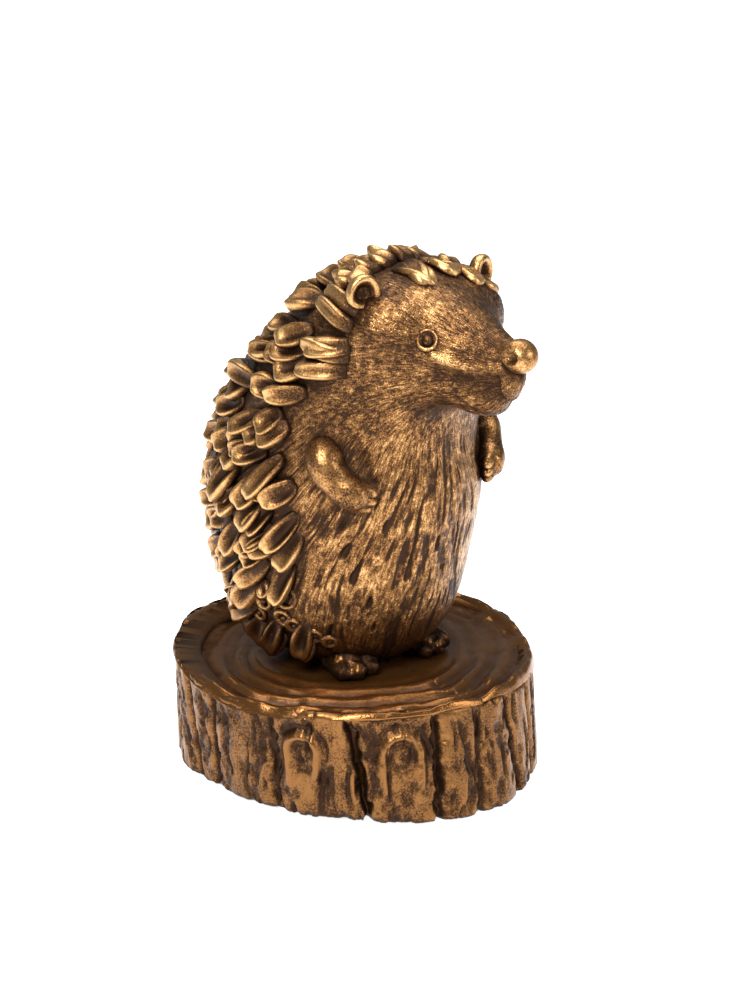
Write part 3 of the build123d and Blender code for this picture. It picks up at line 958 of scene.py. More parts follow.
@dataclass
class Lobes:
    """Leaves laid on the skin like roof tiles: rolled rims, dished middles, sunk roots.

    u runs from the root to the tip and t across from -1 to 1. The half width
    swells as a quarter sine from the root and closes as a round tip. The top is
    flat with a bell of a rim near its edges, less a dish that fades at both ends,
    plus lumps of noise; the underside is a shallow arch. Each point is then laid
    on the form's skin.
    """

    form: HedgehogForm
    style: LobeStyle

    def shells(self, point: Array, normal: Array, flow: Array, draws: np.random.Generator,
               size: Optional[Array] = None, proud: float | Array = 0.0) -> list[Shell]:
        """One closed leaf for each spot, with small differences between them.

        Args:
            point: feet on the skin, (n, 3).
            normal: outward normals there.
            flow: unit ways from root to tip.
            draws: the source of the differences.
            size: a factor on each leaf's length, or none.
            proud: how far each leaf stands off the skin.

        Returns:
            The leaves.
        """
        look, count = self.style, len(point)
        vary = draws.uniform(-1, 1, (8, count, 1, 1))
        scale = 1 if size is None else np.reshape(size, (-1, 1, 1))
        length = look.length * (1 + look.spread * vary[0]) * scale
        half = look.width / 2 * (1 + 0.8 * look.spread * vary[1])
        lift = look.lift * (1 + 0.25 * vary[2])
        u = np.sin(np.linspace(0.03, np.pi / 2 * 0.93, look.rows))[None, :, None]
        over = np.sin(np.linspace(-np.pi / 2, np.pi / 2, look.top_columns))
        under = np.sin(np.linspace(np.pi / 2, -np.pi / 2, look.under_columns + 2))[1:-1]
        t = np.concatenate([over, under])[None, None, :]
        is_top = np.arange(t.size)[None, None, :] < look.top_columns
        swell = look.root + (1 - look.root) * np.sin(np.pi / 2 * np.minimum(u / look.wide_from, 1))
        closing = np.maximum((u - look.close_from) / (1 - look.close_from), 0)
        close = np.sqrt(np.maximum(1 - closing**2.4, 0.03))
        wide = half * swell * close
        rim = (1 - np.abs(t) ** 4) ** 0.5 * (1 + look.rim_bulge * bell(np.abs(t), look.rim_place, 0.2))
        bowl = np.maximum(1 - ((t + 0.18 * vary[5]) / look.dish_half) ** 2, 0)
        hollow = bowl * np.sin(np.pi * np.clip((u - 0.08) / 0.74, 0, 1)) ** 0.8
        dished = look.dish * (1 + 0.35 * vary[3]) * hollow
        comb = look.comb * np.sin(2 * np.pi * (t * (1.1 + look.ridges) + vary[4])) * hollow
        slant = look.slant * vary[5] * t
        rising = 0.5 + 0.5 * np.sin(np.pi / 2 * np.minimum(u / look.high_from, 1))
        bulk = look.height * (1 + 0.15 * vary[6]) * rising
        arch = -look.arch * np.sqrt(1 - t**2)
        thick = (np.where(is_top, rim - dished + comb, arch) + slant) * bulk * close**0.75
        side = np.cross(normal, flow)
        turn = math.radians(look.turn) * vary[7][:, 0]
        ahead = flow * np.cos(turn) + side * np.sin(turn)
        beside = np.cross(normal, ahead)
        bend = look.bend * length * np.where(vary[5] > 0, 1.0, -0.6) * u**2
        flat = point[:, None, None] + ahead[:, None, None] * (u * length)[..., None] \
            + beside[:, None, None] * (wide * t + bend)[..., None]
        for _ in range(2):
            out = unit(self.form.normals(flat) + 0.35 * normal[:, None, None])
            flat = flat - out * self.form.field(flat)[..., None]
        rise = thick + lift * length * u**1.3 - look.sink * (1 - smooth_step(0, 0.35, u)) \
            + np.reshape(proud, (-1, 1, 1)) * smooth_step(0.0, 0.5, u)
        lumps = look.lumps * (layered_noise(flat / look.lump_size, 141, 2) - 0.5)
        rise = rise + lumps * is_top * smooth_step(0.1, 0.4, u)
        points = flat + out * rise[..., None]
        relief = np.where(is_top, look.top_relief - dished + 1.6 * comb, look.under_relief)
        relief = relief * (0.3 + 0.7 * smooth_step(0.05, 0.45, u))
        relief = relief + look.tip_relief * smooth_step(0.7, 0.95, u) * is_top
        tips = points[:, -1].mean(axis=1) + ahead * length[:, 0] * 0.02
        poles = np.stack([points[:, 0].mean(axis=1), tips], axis=1)
        return [Shell(points[k], poles[k], np.clip(relief[k], 0, 1)) for k in range(count)]


@dataclass
class QuillCoat:
    """All quills, one piece for each of the frame's quill nodes."""

    layout: QuillLayout
    style: LobeStyle = LobeStyle()
    seed: int = 11
    second_size: float = 0.8
    second_proud: float = 0.3
    flow_tilts: tuple = (-45.0, -11.0)
    ruff_feet: tuple = ((17.6, -24.0, 119.0), (19.0, -23.6, 116.2), (20.0, -23.2, 113.2),
                        (20.8, -22.8, 110.2), (21.2, -22.0, 107.0))
    ruff_style: LobeStyle = LobeStyle(length=11.5, width=4.6, height=2.4, dish=0.3, lift=0.1, root=0.9,
                                      comb=0.2, ridges=1.2, spread=0.16, rows=11, top_columns=10)
    ruff_proud: float = 0.9
    low_growth: float = 0.12
    crown_shrink: float = 0.22
    crown_proud: float = 1.2
    nape_sunk: float = 2.9
    back_sunk: float = 2.0
    rear_sunk: float = 1.2

    def build(self, material: bpy.types.Material) -> None:
        """Makes and dresses every region of the coat.

        Args:
            material: the quills' finish.
        """
        draws = np.random.default_rng(self.seed)
        spots = self.layout.spots()
        point = np.array([spot.point for spot in spots])
        normal = np.array([spot.normal for spot in spots])
        flow = np.array([spot.flow for spot in spots])
        point, normal, flow = self.second_coat(point, normal, flow, draws)
        size, proud = self.sizes(point)
        size[len(spots):] *= self.second_size
        proud[len(spots):] -= self.second_proud
        shells = Lobes(self.layout.form, self.style).shells(point, normal, flow, draws, size, proud)
        regions: dict[str, list[Shell]] = {}
        for foot, shell in zip(point, shells):
            regions.setdefault(self.layout.region(foot), []).append(shell)
        for side in Side:
            regions[f"{side.label}_temple_quills"] += self.ruff(side, draws)
        for name, group in regions.items():
            put("lobes_" + name, group, material, [name], subdivision=1)

    def sizes(self, point: Array) -> tuple[Array, Array]:
        """Size of each quill, and how proud it stands: long low down, small on the crown, flat behind.

        Args:
            point: feet on the skin, (n, 3).

        Returns:
            A factor and a height in mm for each foot.
        """
        x, y, z = np.abs(point[:, 0]), point[:, 1], point[:, 2]
        low = 1 - smooth_step(70, 105, z)
        crown = smooth_step(112, 124, z)
        nape = smooth_step(98, 108, z) * smooth_step(-2, 10, y)
        back = smooth_step(100, 112, z) * smooth_step(-6, 6, y) * smooth_step(4, 14, x)
        rear = smooth_step(6, 22, y) * (1 - nape)
        proud = self.crown_proud * crown * (1 - back) - self.nape_sunk * nape \
            - self.back_sunk * back - self.rear_sunk * rear
        return (1 + self.low_growth * low * smooth_step(8, 24, x)) * (1 - self.crown_shrink * crown), proud

    def second_coat(self, point: Array, normal: Array, flow: Array,
                    draws: np.random.Generator) -> tuple[Array, Array, Array]:
        """The spots, and a smaller quill half a step behind and half a pitch beside each.

        Each flow leads to a point behind the animal, low for the flank and level for
        the nape, so that the quills lie back on top and hang down the sides.

        Args:
            point: feet on the skin, (n, 3).
            normal: outward normals there.
            flow: unit ways from root to tip.
            draws: the source of the differences.

        Returns:
            Points, normals and flows of both coats.
        """
        form, layout = self.layout.form, self.layout
        beside = np.cross(normal, flow)
        hop = np.where(draws.random(len(point)) < 0.5, -0.5, 0.5)[:, None]
        more = point + 0.5 * layout.step * flow + hop * layout.pitch * beside
        middle = np.array([0, 0, form.seat + layout.middle_share * form.height])
        kept = layout.clear(more, middle) & (np.abs(more[:, 0]) > 1.0)
        more, out = form.settle(more[kept])
        point, normal = np.concatenate([point, more]), np.concatenate([normal, out])
        low, high = self.flow_tilts
        tilt = np.radians(low + (high - low) * smooth_step(66, 112, point[:, 2]))
        return point, normal, in_plane(lattice(0.0, np.cos(tilt), np.sin(tilt)), normal)

    def ruff(self, side: Side, draws: np.random.Generator) -> list[Shell]:
        """Combed locks that stand back from the cheek.

        Args:
            side: which of the hedgehog's sides.
            draws: the source of the differences.

        Returns:
            The locks as closed shells.
        """
        feet, normal = self.layout.form.settle(np.array(self.ruff_feet) * [side.value, 1, 1])
        flow = in_plane(lattice(side.value * 0.3, 1.0, (feet[:, 2] - 111) / 16), normal)
        lobes = Lobes(self.layout.form, self.ruff_style)
        return lobes.shells(feet, normal, flow, draws, None, self.ruff_proud)


# fur


@dataclass
class Fur:
    """Strokes of fur on the skin: ridges and furrows that follow the lie of the hair.

    Heights are in mm. A stroke is value noise that is drawn out along the flow.
    """

    form: HedgehogForm
    stroke_width: float = 0.45
    stroke_length: float = 9.0
    stroke_depth: float = 0.34
    gouge_depth: float = 0.8
    wander: float = 3.0
    bare_share: float = 0.68
    patchiness: float = 0.12
    grain: float = 0.2
    swell: float = 0.5
    edge: tuple = ((10.6, -38.6, 111.4), (7.8, -44.0, 109.9), (5.4, -49.0, 109.8), (3.4, -53.0, 110.8))
    edge_height: float = 0.9
    edge_width: float = 1.3
    side_hollow: tuple = ((11.0, -39.0, 106.0), (7.0, -45.5, 105.4), (4.4, -50.5, 106.0))
    hollow_depth: float = 1.9
    hollow_width: float = 3.3
    mouth: tuple = ((7.9, -41.6, 101.9), (6.4, -44.6, 100.0), (3.8, -46.6, 98.6), (0.0, -47.4, 97.9))
    mouth_width: float = 0.6
    mouth_depth: float = 1.1
    slot: tuple = ((18.4, -22.8, 87.0), (16.6, -24.4, 80.0))
    slot_depth: float = 1.0
    slot_width: float = 1.8
    eye_place: tuple = (11.0, -36.4, 114.6)
    eye_hollow: float = 0.5
    eye_width: float = 4.5
    nose: tuple = (0.0, -54.0, 111.0)

    def strokes(self, across: Array, along: Array, seed: int) -> Array:
        """How deep each point lies in a furrow, from 0 on the land to 1.

        Noise is drawn out along the flow, its line wanders, and only its highest
        values cut a furrow. Two widths of stroke are mixed.

        Args:
            across: lengths across the hair, in mm.
            along: lengths along it.
            seed: which field of values is read.

        Returns:
            One value from 0 to 1 for each point.
        """
        wander = (value_noise(lattice(across / 9, along / 16), seed + 5) - 0.5) * self.wander
        line = (across + wander) / self.stroke_width
        drawn = along / self.stroke_length
        fine = value_noise(lattice(line, drawn), seed)
        broad = value_noise(lattice(line * 0.5 + 3.3, drawn * 0.7 + 1.7), seed + 1)
        patch = layered_noise(lattice(across / 9, along / 14), seed + 9, 2)
        edge = self.bare_share - self.patchiness * (patch - 0.5)
        cut = smooth_step(0.0, 0.24, fine - edge)
        deep = smooth_step(0.0, 0.2, broad - edge - 0.1)
        return np.clip(0.8 * cut + 0.7 * deep, 0, 1)

    def belly(self, p: Array) -> tuple[Array, Array]:
        """Across and along coordinates of the belly's fur, which fans out downwards.

        Args:
            p: points, with 3 numbers each.

        Returns:
            The two coordinates in mm.
        """
        _, _, centre = self.form.oval(p[..., 2])
        angle = np.arctan2(p[..., 0], -(p[..., 1] - centre))
        down = (self.form.neck_level - p[..., 2]) / 40
        return angle * 34 / (1 + 1.3 * np.maximum(down, -0.35)), p[..., 2] * 1.15

    def face(self, p: Array) -> tuple[Array, Array]:
        """Across and along coordinates of the head's fur, which runs back from the nose.

        Args:
            p: points, with 3 numbers each.

        Returns:
            The two coordinates in mm.
        """
        gap = p - np.array(self.nose)
        around = np.arctan2(gap[..., 0], -gap[..., 2])
        return around * 15, np.linalg.norm(gap, axis=-1)

    def heights(self, p: Array) -> tuple[Array, Array]:
        """Height of the fur above the smooth skin, and its relief.

        Args:
            p: points of the skin.

        Returns:
            Heights in mm and relief from 0 to 1.
        """
        above = smooth_step(-9, 7, self.form.above_neck(p))
        across, along = self.belly(p)
        low = self.strokes(across, along, seed=3)
        high = self.strokes(*self.face(p), seed=8)
        furrow = low * (1 - above) + 0.35 * high * above
        cells = lattice(across / 1.15, along / 8)
        gouge = smooth_step(0.86, 0.93, value_noise(cells, 21)) * (1 - above) * smooth_step(84, 62, p[..., 2])
        mirrored = folded(p)
        mouth, ridge, slot, hollow = (bell(self.near(mirrored, line), 0.0, width) for line, width in (
            (self.mouth, self.mouth_width), (self.edge, self.edge_width),
            (self.slot, self.slot_width), (self.side_hollow, self.hollow_width)))
        socket = bell(np.linalg.norm(mirrored - np.array(self.eye_place), axis=-1), 0.0, self.eye_width)
        grain = layered_noise(p / 0.9, 31, 2)
        swell = layered_noise(p / 6, 35, 2)
        height = -self.stroke_depth * furrow - self.gouge_depth * gouge + self.grain * (grain - 0.5) \
            + self.swell * (swell - 0.5) - self.mouth_depth * mouth - self.eye_hollow * socket \
            + self.edge_height * ridge - self.hollow_depth * hollow - self.slot_depth * slot
        clumps = layered_noise(p / 8, 41, 3)
        relief = 0.56 - 0.6 * furrow - 0.6 * gouge - 0.5 * mouth \
            + 0.5 * (grain - 0.5) + 0.5 * (clumps - 0.5) + 0.3 * ridge - 0.15 * hollow \
            - 0.09 * above - 0.3 * slot
        return height, np.clip(relief, 0, 1)

    def near(self, p: Array, line: Sequence[Sequence[float]]) -> Array:
        """Distance from each point to a bent line."""
        return np.minimum.reduce([rod(p, a, b, 0.0, 0.0) for a, b in zip(line, line[1:])])

    def lie(self, p: Array, of: Callable[[Array], tuple[Array, Array]]) -> Array:
        """Lengths across and along the hair, and a zero, as three columns."""
        return lattice(*of(p))


@dataclass
class TorsoSkin:
    """Skin of the torso: rays from the body's centre line, row above row."""

    form: HedgehogForm
    fur: Fur
    rows: int = 210
    columns: int = 440
    front_density: float = 0.45
    paunch: float = 0.7

    def build(self, material: bpy.types.Material) -> None:
        """Makes the skin and puts it in place of the torso.

        Args:
            material: the pieces' finish.
        """
        level = np.linspace(self.form.seat - 0.6, self.form.neck_level + 12, self.rows)[:, None]
        turn = full_turn(self.columns)[None, :]
        turn = turn - self.front_density * np.sin(turn)
        level, turn = np.broadcast_arrays(level, turn)
        _, _, centre = self.form.oval(level)
        way = lattice(np.sin(turn), -np.cos(turn))
        skin = self.form.skin(lattice(0.0, centre, level), way, self.form.body)
        height, relief = self.fur.heights(skin)
        lie = self.fur.lie(skin, self.fur.belly)
        above = self.form.above_neck(skin)
        sunk = 3.0 * smooth_step(1.0, 6.0, above)
        front = self.paunch * bell(skin[..., 2], 50, 22) * smooth_step(5, -15, skin[..., 1])
        skin = skin + self.form.normals(skin, self.form.body) * (height + front - sunk)[..., None]
        poles = np.array([skin[0].mean(0), skin[-1].mean(0)])
        put("furred_torso", [Shell(skin, poles, relief, lie)], material, ["torso"])


@dataclass
class HeadSkin:
    """Skin of the head and snout: rays from a point in the skull, ring after ring."""

    form: HedgehogForm
    fur: Fur
    centre: tuple = (0.0, -12.0, 108.0)
    rows: int = 280
    columns: int = 340
    short_hair: float = 2.6
    least_angle: float = 0.004

    def build(self, material: bpy.types.Material) -> None:
        """Makes the skin and puts it in place of the head.

        Args:
            material: the pieces' finish.
        """
        polar = self.even_rows()
        turn = full_turn(self.columns)
        polar, turn = np.meshgrid(polar, turn, indexing="ij")
        skin = self.form.skin(np.array(self.centre), sphere_ways(polar, turn))
        below = -self.form.above_neck(skin)
        height, relief = self.fur.heights(skin)
        lie = self.fur.lie(skin, self.fur.face) * [1, self.short_hair, 1]
        sunk = 6.0 * smooth_step(1.0, 10.0, below)
        skin = skin + self.form.normals(skin) * (height - sunk)[..., None]
        poles = np.array([skin[0].mean(0), skin[-1].mean(0)])
        put("furred_head", [Shell(skin, poles, relief, lie)], material, ["head"])

    def even_rows(self) -> Array:
        """Polar angles whose rings are evenly spaced along the side of the head.

        Returns:
            One angle for each row, in radians.
        """
        polar = np.linspace(self.least_angle, np.pi - self.least_angle, 1200)
        line = self.form.skin(np.array(self.centre), lattice(np.sin(polar), -np.cos(polar)))
        gap = np.linalg.norm(np.diff(line, axis=0), axis=1) + 0.004
        travelled = np.concatenate([[0], np.cumsum(gap)])
        return np.interp(np.linspace(0, travelled[-1], self.rows), travelled, polar)


# stump


@dataclass
class Stump:
    """Slice of tree stump: bark with grooves, knots and pits, and rings on its top."""

    radius: float = 45.6
    height: float = 28.3
    felt_proud: float = 0.4
    ring_top: float = 27.5
    bark_inner: float = 40.0
    relief_depth: float = 1.9
    grooves: tuple = (-105, -93, -68, -40, -16, -3, 12, 25, 44, 65, 88, 110, 130, 152, 175, 198, 222, 238)
    slants: tuple = (2, -3, 1, 6, -1, -3, 4, 2, -5, 3, 2, -4, 3, -2, 4, -3, 2, 3)
    depths: tuple = (0.8, 1.0, 0.8, 1.8, 1.1, 0.7, 1.2, 1.0, 1.2, 0.9, 1.1, 1.0, 1.3, 0.9, 1.1, 1.2, 0.9, 1.0)
    bulges: tuple = (0.3, 0.7, 0.5, 0.9, 1.0, 0.6, 0.4, 0.8, 0.5, 0.9, 0.6, 1.0, 0.4, 0.8, 0.6, 0.9, 0.5, 0.7)
    knot_angles: tuple = (-58.0, -27.0)
    knot_radii: tuple = (4.0, 4.8)
    knot_level: float = 17.6
    top_bulges: tuple = (2.4, 2.4, 2.2, 2.0, 1.6, 0.8, 0.2, 0.0, 0.3, 1.2,
                         1.4, -0.4, -1.8, -1.6, 0.0, 0.5, 1.0, 2.0, 2.4)
    low_bulges: tuple = (1.0, 1.6, 1.8, 1.2, -1.0, -2.2, -1.2, 1.0, 4.0, 6.2,
                         3.6, 0.4, -0.4, 0.2, 0.0, 0.5, 1.0, 1.0, 1.0)
    rim_rises: tuple = (1.4, 2.3, 2.7, 2.0, 0.9, 0.0, 0.0, 0.0, 0.0, 0.0,
                        0.0, 0.0, 0.3, 1.0, 0.8, 0.8, 1.0, 0.8, 1.4)
    columns: int = 760
    wobble: float = 3.2
    roughness: float = 2.2
    groove_width: float = 0.85
    brink_width: float = 2.6
    plate_height: float = 1.1
    groove_depth: float = 1.8
    crack_depth: float = 0.9
    fissure_height: float = 0.6
    hole_depth: float = 0.5
    knot_height: float = 1.2
    swell: float = 1.2
    bark_rows: int = 58
    ring_rows: int = 120
    edge_round: float = 1.6
    ring_dip: float = 0.55
    ring_pitch: float = 5.6
    ring_drift: float = 5.0
    ring_height: float = 0.75
    faint_height: float = 0.7
    lump_height: float = 0.8
    rim_lumps: float = 1.6
    rim_roll: float = 1.3
    ring_side: float = 40.0

    def bark(self, material: bpy.types.Material) -> None:
        """Bark shell: up the outside, over the rim and down the inside.

        Args:
            material: the pieces' finish.
        """
        turn = np.linspace(0, 360, self.columns, endpoint=False)[None, :]
        share = np.linspace(0, 1, self.bark_rows)[:, None]
        level = self.felt_proud + share * (self.height - self.felt_proud)
        radius, relief = self.bark_radius(turn, level)
        edge, rim = self.edge_round, self.rim(turn)
        low = np.maximum(edge - (level - self.felt_proud), 0) / edge
        high = np.minimum(np.maximum(edge - (rim - level), 0) / edge, 1)
        for near in (low, high):
            radius = radius - edge * (1 - np.sqrt(np.maximum(1 - near**2, 0)))
        level = np.where(share > 0.97, rim, np.minimum(level, rim))
        inner = np.full((4, self.columns), self.bark_inner) - np.array([0, 0.5, 0.5, 0.0])[:, None]
        inner_level = np.array([-0.8, -4.0, -20.0, 0.0])[:, None] + rim
        inner_level[3] = self.felt_proud
        radius = np.concatenate([radius, inner])
        level = np.concatenate([level, inner_level])
        relief = np.clip(relief + 0.5 * smooth_step(0.9, 1.0, share), 0, 1)
        relief = np.concatenate([relief, np.zeros((4, self.columns)) + [[0.9], [0.3], [0.3], [0.3]]])
        shell = self.ring_shell(radius, level, turn, relief)
        put("stump_bark", [shell], material, ["bark_plates", "bark_knots"])

    def ring_shell(self, radius: Array, level: Array, turn: Array, relief: Array) -> Shell:
        """Points of a closed band from radius and level, the seam of its two ends at the bottom.

        Args:
            radius: radii, row after row.
            level: heights.
            turn: angles in degrees.
            relief: relief from 0 to 1.

        Returns:
            The closed band.
        """
        angle = np.radians(turn - 90)
        points = lattice(radius * np.cos(angle), radius * np.sin(angle), level)
        return Shell(points, np.array([[0, 0, self.felt_proud]] * 2), relief)

    def rim(self, turn: Array) -> Array:
        """Level of the rim, which rises and falls round the stump."""
        wave = value_noise(lattice(turn / 14), 61)
        return self.height - 1.1 * wave + self.around(turn, self.rim_rises)

    def around(self, turn: Array, values: Sequence[float]) -> Array:
        """A table of values round the stump, one each 20 degrees from -180, read smoothly."""
        angles = np.arange(-180, 181, 20)
        return through((turn + 180) % 360 - 180, angles, values)

    def arc(self, turn: Array) -> Array:
        """Length round the bark for an angle in degrees, taken the short way."""
        return ((turn + 180) % 360 - 180) * np.pi / 180 * self.radius

    def bark_radius(self, turn: Array, level: Array) -> tuple[Array, Array]:
        """Radius and relief of the bark.

        A groove is a bell across its line, which slants with height; between two
        grooves the plate bulges; fissures are noise drawn out along +Z.

        Args:
            turn: angles from the front towards +X, in degrees.
            level: heights.

        Returns:
            Radius in mm and relief from 0 to 1.
        """
        turn, level = np.broadcast_arrays(turn, level)
        share = (level - self.felt_proud) / (self.height - self.felt_proud)
        length = turn * np.pi / 180 * self.radius
        wobble = (value_noise(lattice(length / 9, level / 7), 63) - 0.5) * self.wobble
        rough = (layered_noise(lattice(length / 2, level / 2.5), 69, 2) - 0.5) * self.roughness
        groove, plate, brink, knots = (np.zeros_like(length) for _ in range(4))
        count = len(self.grooves)
        for k in range(count):
            line = self.grooves[k] - self.slants[k] * (share - 0.5)
            gap = self.arc(turn - line) + wobble * 0.5
            groove = np.maximum(groove, self.depths[k] * bell(gap + rough, 0.0, self.groove_width))
            after = self.grooves[(k + 1) % count] + (360 if k == count - 1 else 0)
            within = ((turn - self.grooves[k]) % 360) / ((after - self.grooves[k]) % 360)
            hump = np.where(within < 1, np.sin(np.pi * np.clip(within, 0, 1)) ** 0.6, 0)
            plate = np.maximum(plate, hump * (0.4 + 0.6 * self.bulges[k]))
            brink = np.maximum(brink, bell(gap + rough, 0.0, self.brink_width) * self.depths[k])
        below = 1 - 0.8 * smooth_step(0.84, 0.97, share)
        groove = groove * below
        fissures = layered_noise(lattice((length + wobble) / 2.0, level / 11), 65, 3)
        pits = layered_noise(lattice((length + wobble) / 2.4, level / 3.4), 67, 3)
        holes = smooth_step(0.56, 0.7, pits)
        for angle, size in zip(self.knot_angles, self.knot_radii):
            gap = self.arc(turn - angle) + 0.4 * wobble
            above = level - self.knot_level
            distance = np.hypot(gap, np.where(above > 0, above, 0.3 * above))
            arch = smooth_step(-16, -3.0, above)
            knots = knots + arch * (bell(distance, size, 1.1) - 0.5 * bell(distance, size + 2.2, 1.0)) \
                - 0.5 * bell(np.hypot(gap, above), size - 1.9, 0.8)
        cracks = smooth_step(0.56, 0.74, fissures) * below
        height = self.plate_height * plate - self.groove_depth * groove - self.crack_depth * cracks \
            + self.fissure_height * (fissures - 0.5) - self.hole_depth * holes + self.knot_height * knots
        relief = 0.45 + 0.3 * np.minimum(brink, 1) - 0.8 * groove - 0.4 * cracks + 0.8 * (0.5 - pits) \
            + 0.5 * knots
        swell = self.swell * (value_noise(lattice(length / 10, level / 30), 87) - 0.5)
        low, high = self.around(turn, self.low_bulges), self.around(turn, self.top_bulges)
        outline = swell + low * (1 - share) + high * share
        return self.radius - self.relief_depth + outline + height, np.clip(relief, 0, 1)

    def top(self, material: bpy.types.Material) -> None:
        """Top with its annual rings, from the middle out to the rim, and a flat underside.

        Args:
            material: the pieces' finish.
        """
        turn = np.linspace(0, 360, self.columns, endpoint=False)[None, :]
        share = np.sin(np.linspace(0.02, np.pi / 2, self.ring_rows))[:, None]
        angle = np.radians(turn - 90)
        uneven = 1.2 * (value_noise(lattice(turn / 20), 71) - 0.5)
        radius = share * (self.radius - 1.2 + self.around(turn, self.top_bulges) + uneven)
        x, y = radius * np.cos(angle), radius * np.sin(angle)
        drift = (layered_noise(lattice(x / 22, y / 22), 73, 2) - 0.5) * self.ring_drift
        ripple = np.hypot(x + 1.0, y - 2.0) + drift
        waves = np.sin(2 * np.pi * ripple / self.ring_pitch)
        lumps = layered_noise(lattice(x / 5.5, y / 5.5), 77, 2) - 0.5
        faint = layered_noise(lattice(ripple / 1.3, 3 * angle), 75, 2) - 0.5
        side = math.radians(self.ring_side)
        behind = (x * math.sin(side) + y * math.cos(side)) / self.radius
        out = smooth_step(20, 30, radius) * (0.35 + 0.65 * smooth_step(0.2, -0.5, behind))
        lip = smooth_step(0.9, 0.965, share)
        roll = np.maximum(share - 0.975, 0) / 0.025
        rings = self.ring_height * waves + self.faint_height * faint + self.lump_height * lumps
        level = self.ring_top - self.ring_dip + out * rings \
            + lip * (self.rim(turn) - self.ring_top + 0.75) - self.rim_roll * roll**2 \
            + self.rim_lumps * lumps * smooth_step(0.7, 0.95, share) * (1 - roll)
        relief = np.clip(0.36 + 0.3 * waves * out + 0.6 * faint + 0.5 * lip + 0.5 * lumps, 0, 1)
        points = lattice(x, y, level)
        under = [points[-1:] * [shrink, shrink, 0] + [0, 0, height]
                 for shrink, height in ((0.93, self.ring_top - 3), (0.9, self.felt_proud + 0.5))]
        points = np.concatenate([points, *under])
        relief = np.concatenate([relief, relief[-1:] * 0, relief[-1:] * 0])
        poles = np.array([[0, 0, self.ring_top - self.ring_dip], [0, 0, self.felt_proud + 0.5]])
        put("stump_rings", [Shell(points, poles, relief)], material, ["stump_core"])


# arms, feet, face


def tube(line: Array, radii: Array, columns: int) -> tuple[Array, Array]:
    """Rings of points round a line, each square to it.

    Args:
        line: points of the middle line.
        radii: radius at each point.
        columns: points in each ring.

    Returns:
        The points as rows and columns, and the two ends of the line.
    """
    way = unit(np.gradient(line, axis=0))
    side = unit(np.cross(way, np.array([0.3, -0.2, 1.0])))
    up = np.cross(side, way)
    turn = full_turn(columns)
    ring = np.cos(turn)[None, :, None] * side[:, None] + np.sin(turn)[None, :, None] * up[:, None]
    return line[:, None] + ring * radii[:, None, None], line[[0, -1]]


def star(centre: Sequence[float], solid: Callable[[Array], Array], rows: int, columns: int,
         reach: float) -> tuple[Array, Array]:
    """Skin of a solid seen from a point inside: rays in all directions, halved until they meet it.

    Args:
        centre: the point inside.
        solid: its field, below zero inside.
        rows: rings of rays from -Y to +Y.
        columns: rays in each ring.
        reach: a length that is surely outside.

    Returns:
        The points and the two poles.
    """
    polar = np.linspace(0, np.pi, rows + 2)[:, None]
    turn = full_turn(columns)[None, :]
    way = sphere_ways(polar, turn)
    near, far = np.zeros(way.shape[:-1]), np.full(way.shape[:-1], float(reach))
    for _ in range(16):
        half = (near + far) / 2
        inside = solid(np.array(centre) + way * half[..., None]) < 0
        near, far = np.where(inside, half, near), np.where(inside, far, half)
    points = np.array(centre) + way * far[..., None]
    return points[1:-1], np.array([points[0, 0], points[-1, 0]])


def rolled_ring(centre: Array, out: Array, radius: float, wire: Callable[[Array], Array],
                count: int) -> Array:
    """Points of a ring that lies square to an axis.

    Args:
        centre: middle of the ring.
        out: unit axis.
        radius: radius of the ring's line.
        wire: radius of the wire at each angle of the line from the top.
        count: points of the line.

    Returns:
        The points as rows along the line and columns round the wire.
    """
    up = unit(np.array([0, 0, 1.0]) - out * out[2])
    beside = np.cross(out, up)
    turn, around = full_turn(count)[:, None], full_turn(14)[None, :]
    radial = np.cos(turn)[..., None] * up + np.sin(turn)[..., None] * beside
    outward, upward = wire(turn) * np.cos(around), wire(turn) * np.sin(around)
    return centre + radial * (radius + outward)[..., None] + out * upward[..., None]


def grainy(points: Array, size: float, seed: int, middle: float = 0.6, gain: float = 0.5) -> Array:
    """Relief of a worn surface: a middle value with noise of one size."""
    return np.clip(middle + gain * (layered_noise(points / size, seed, 2) - 0.5), 0, 1)


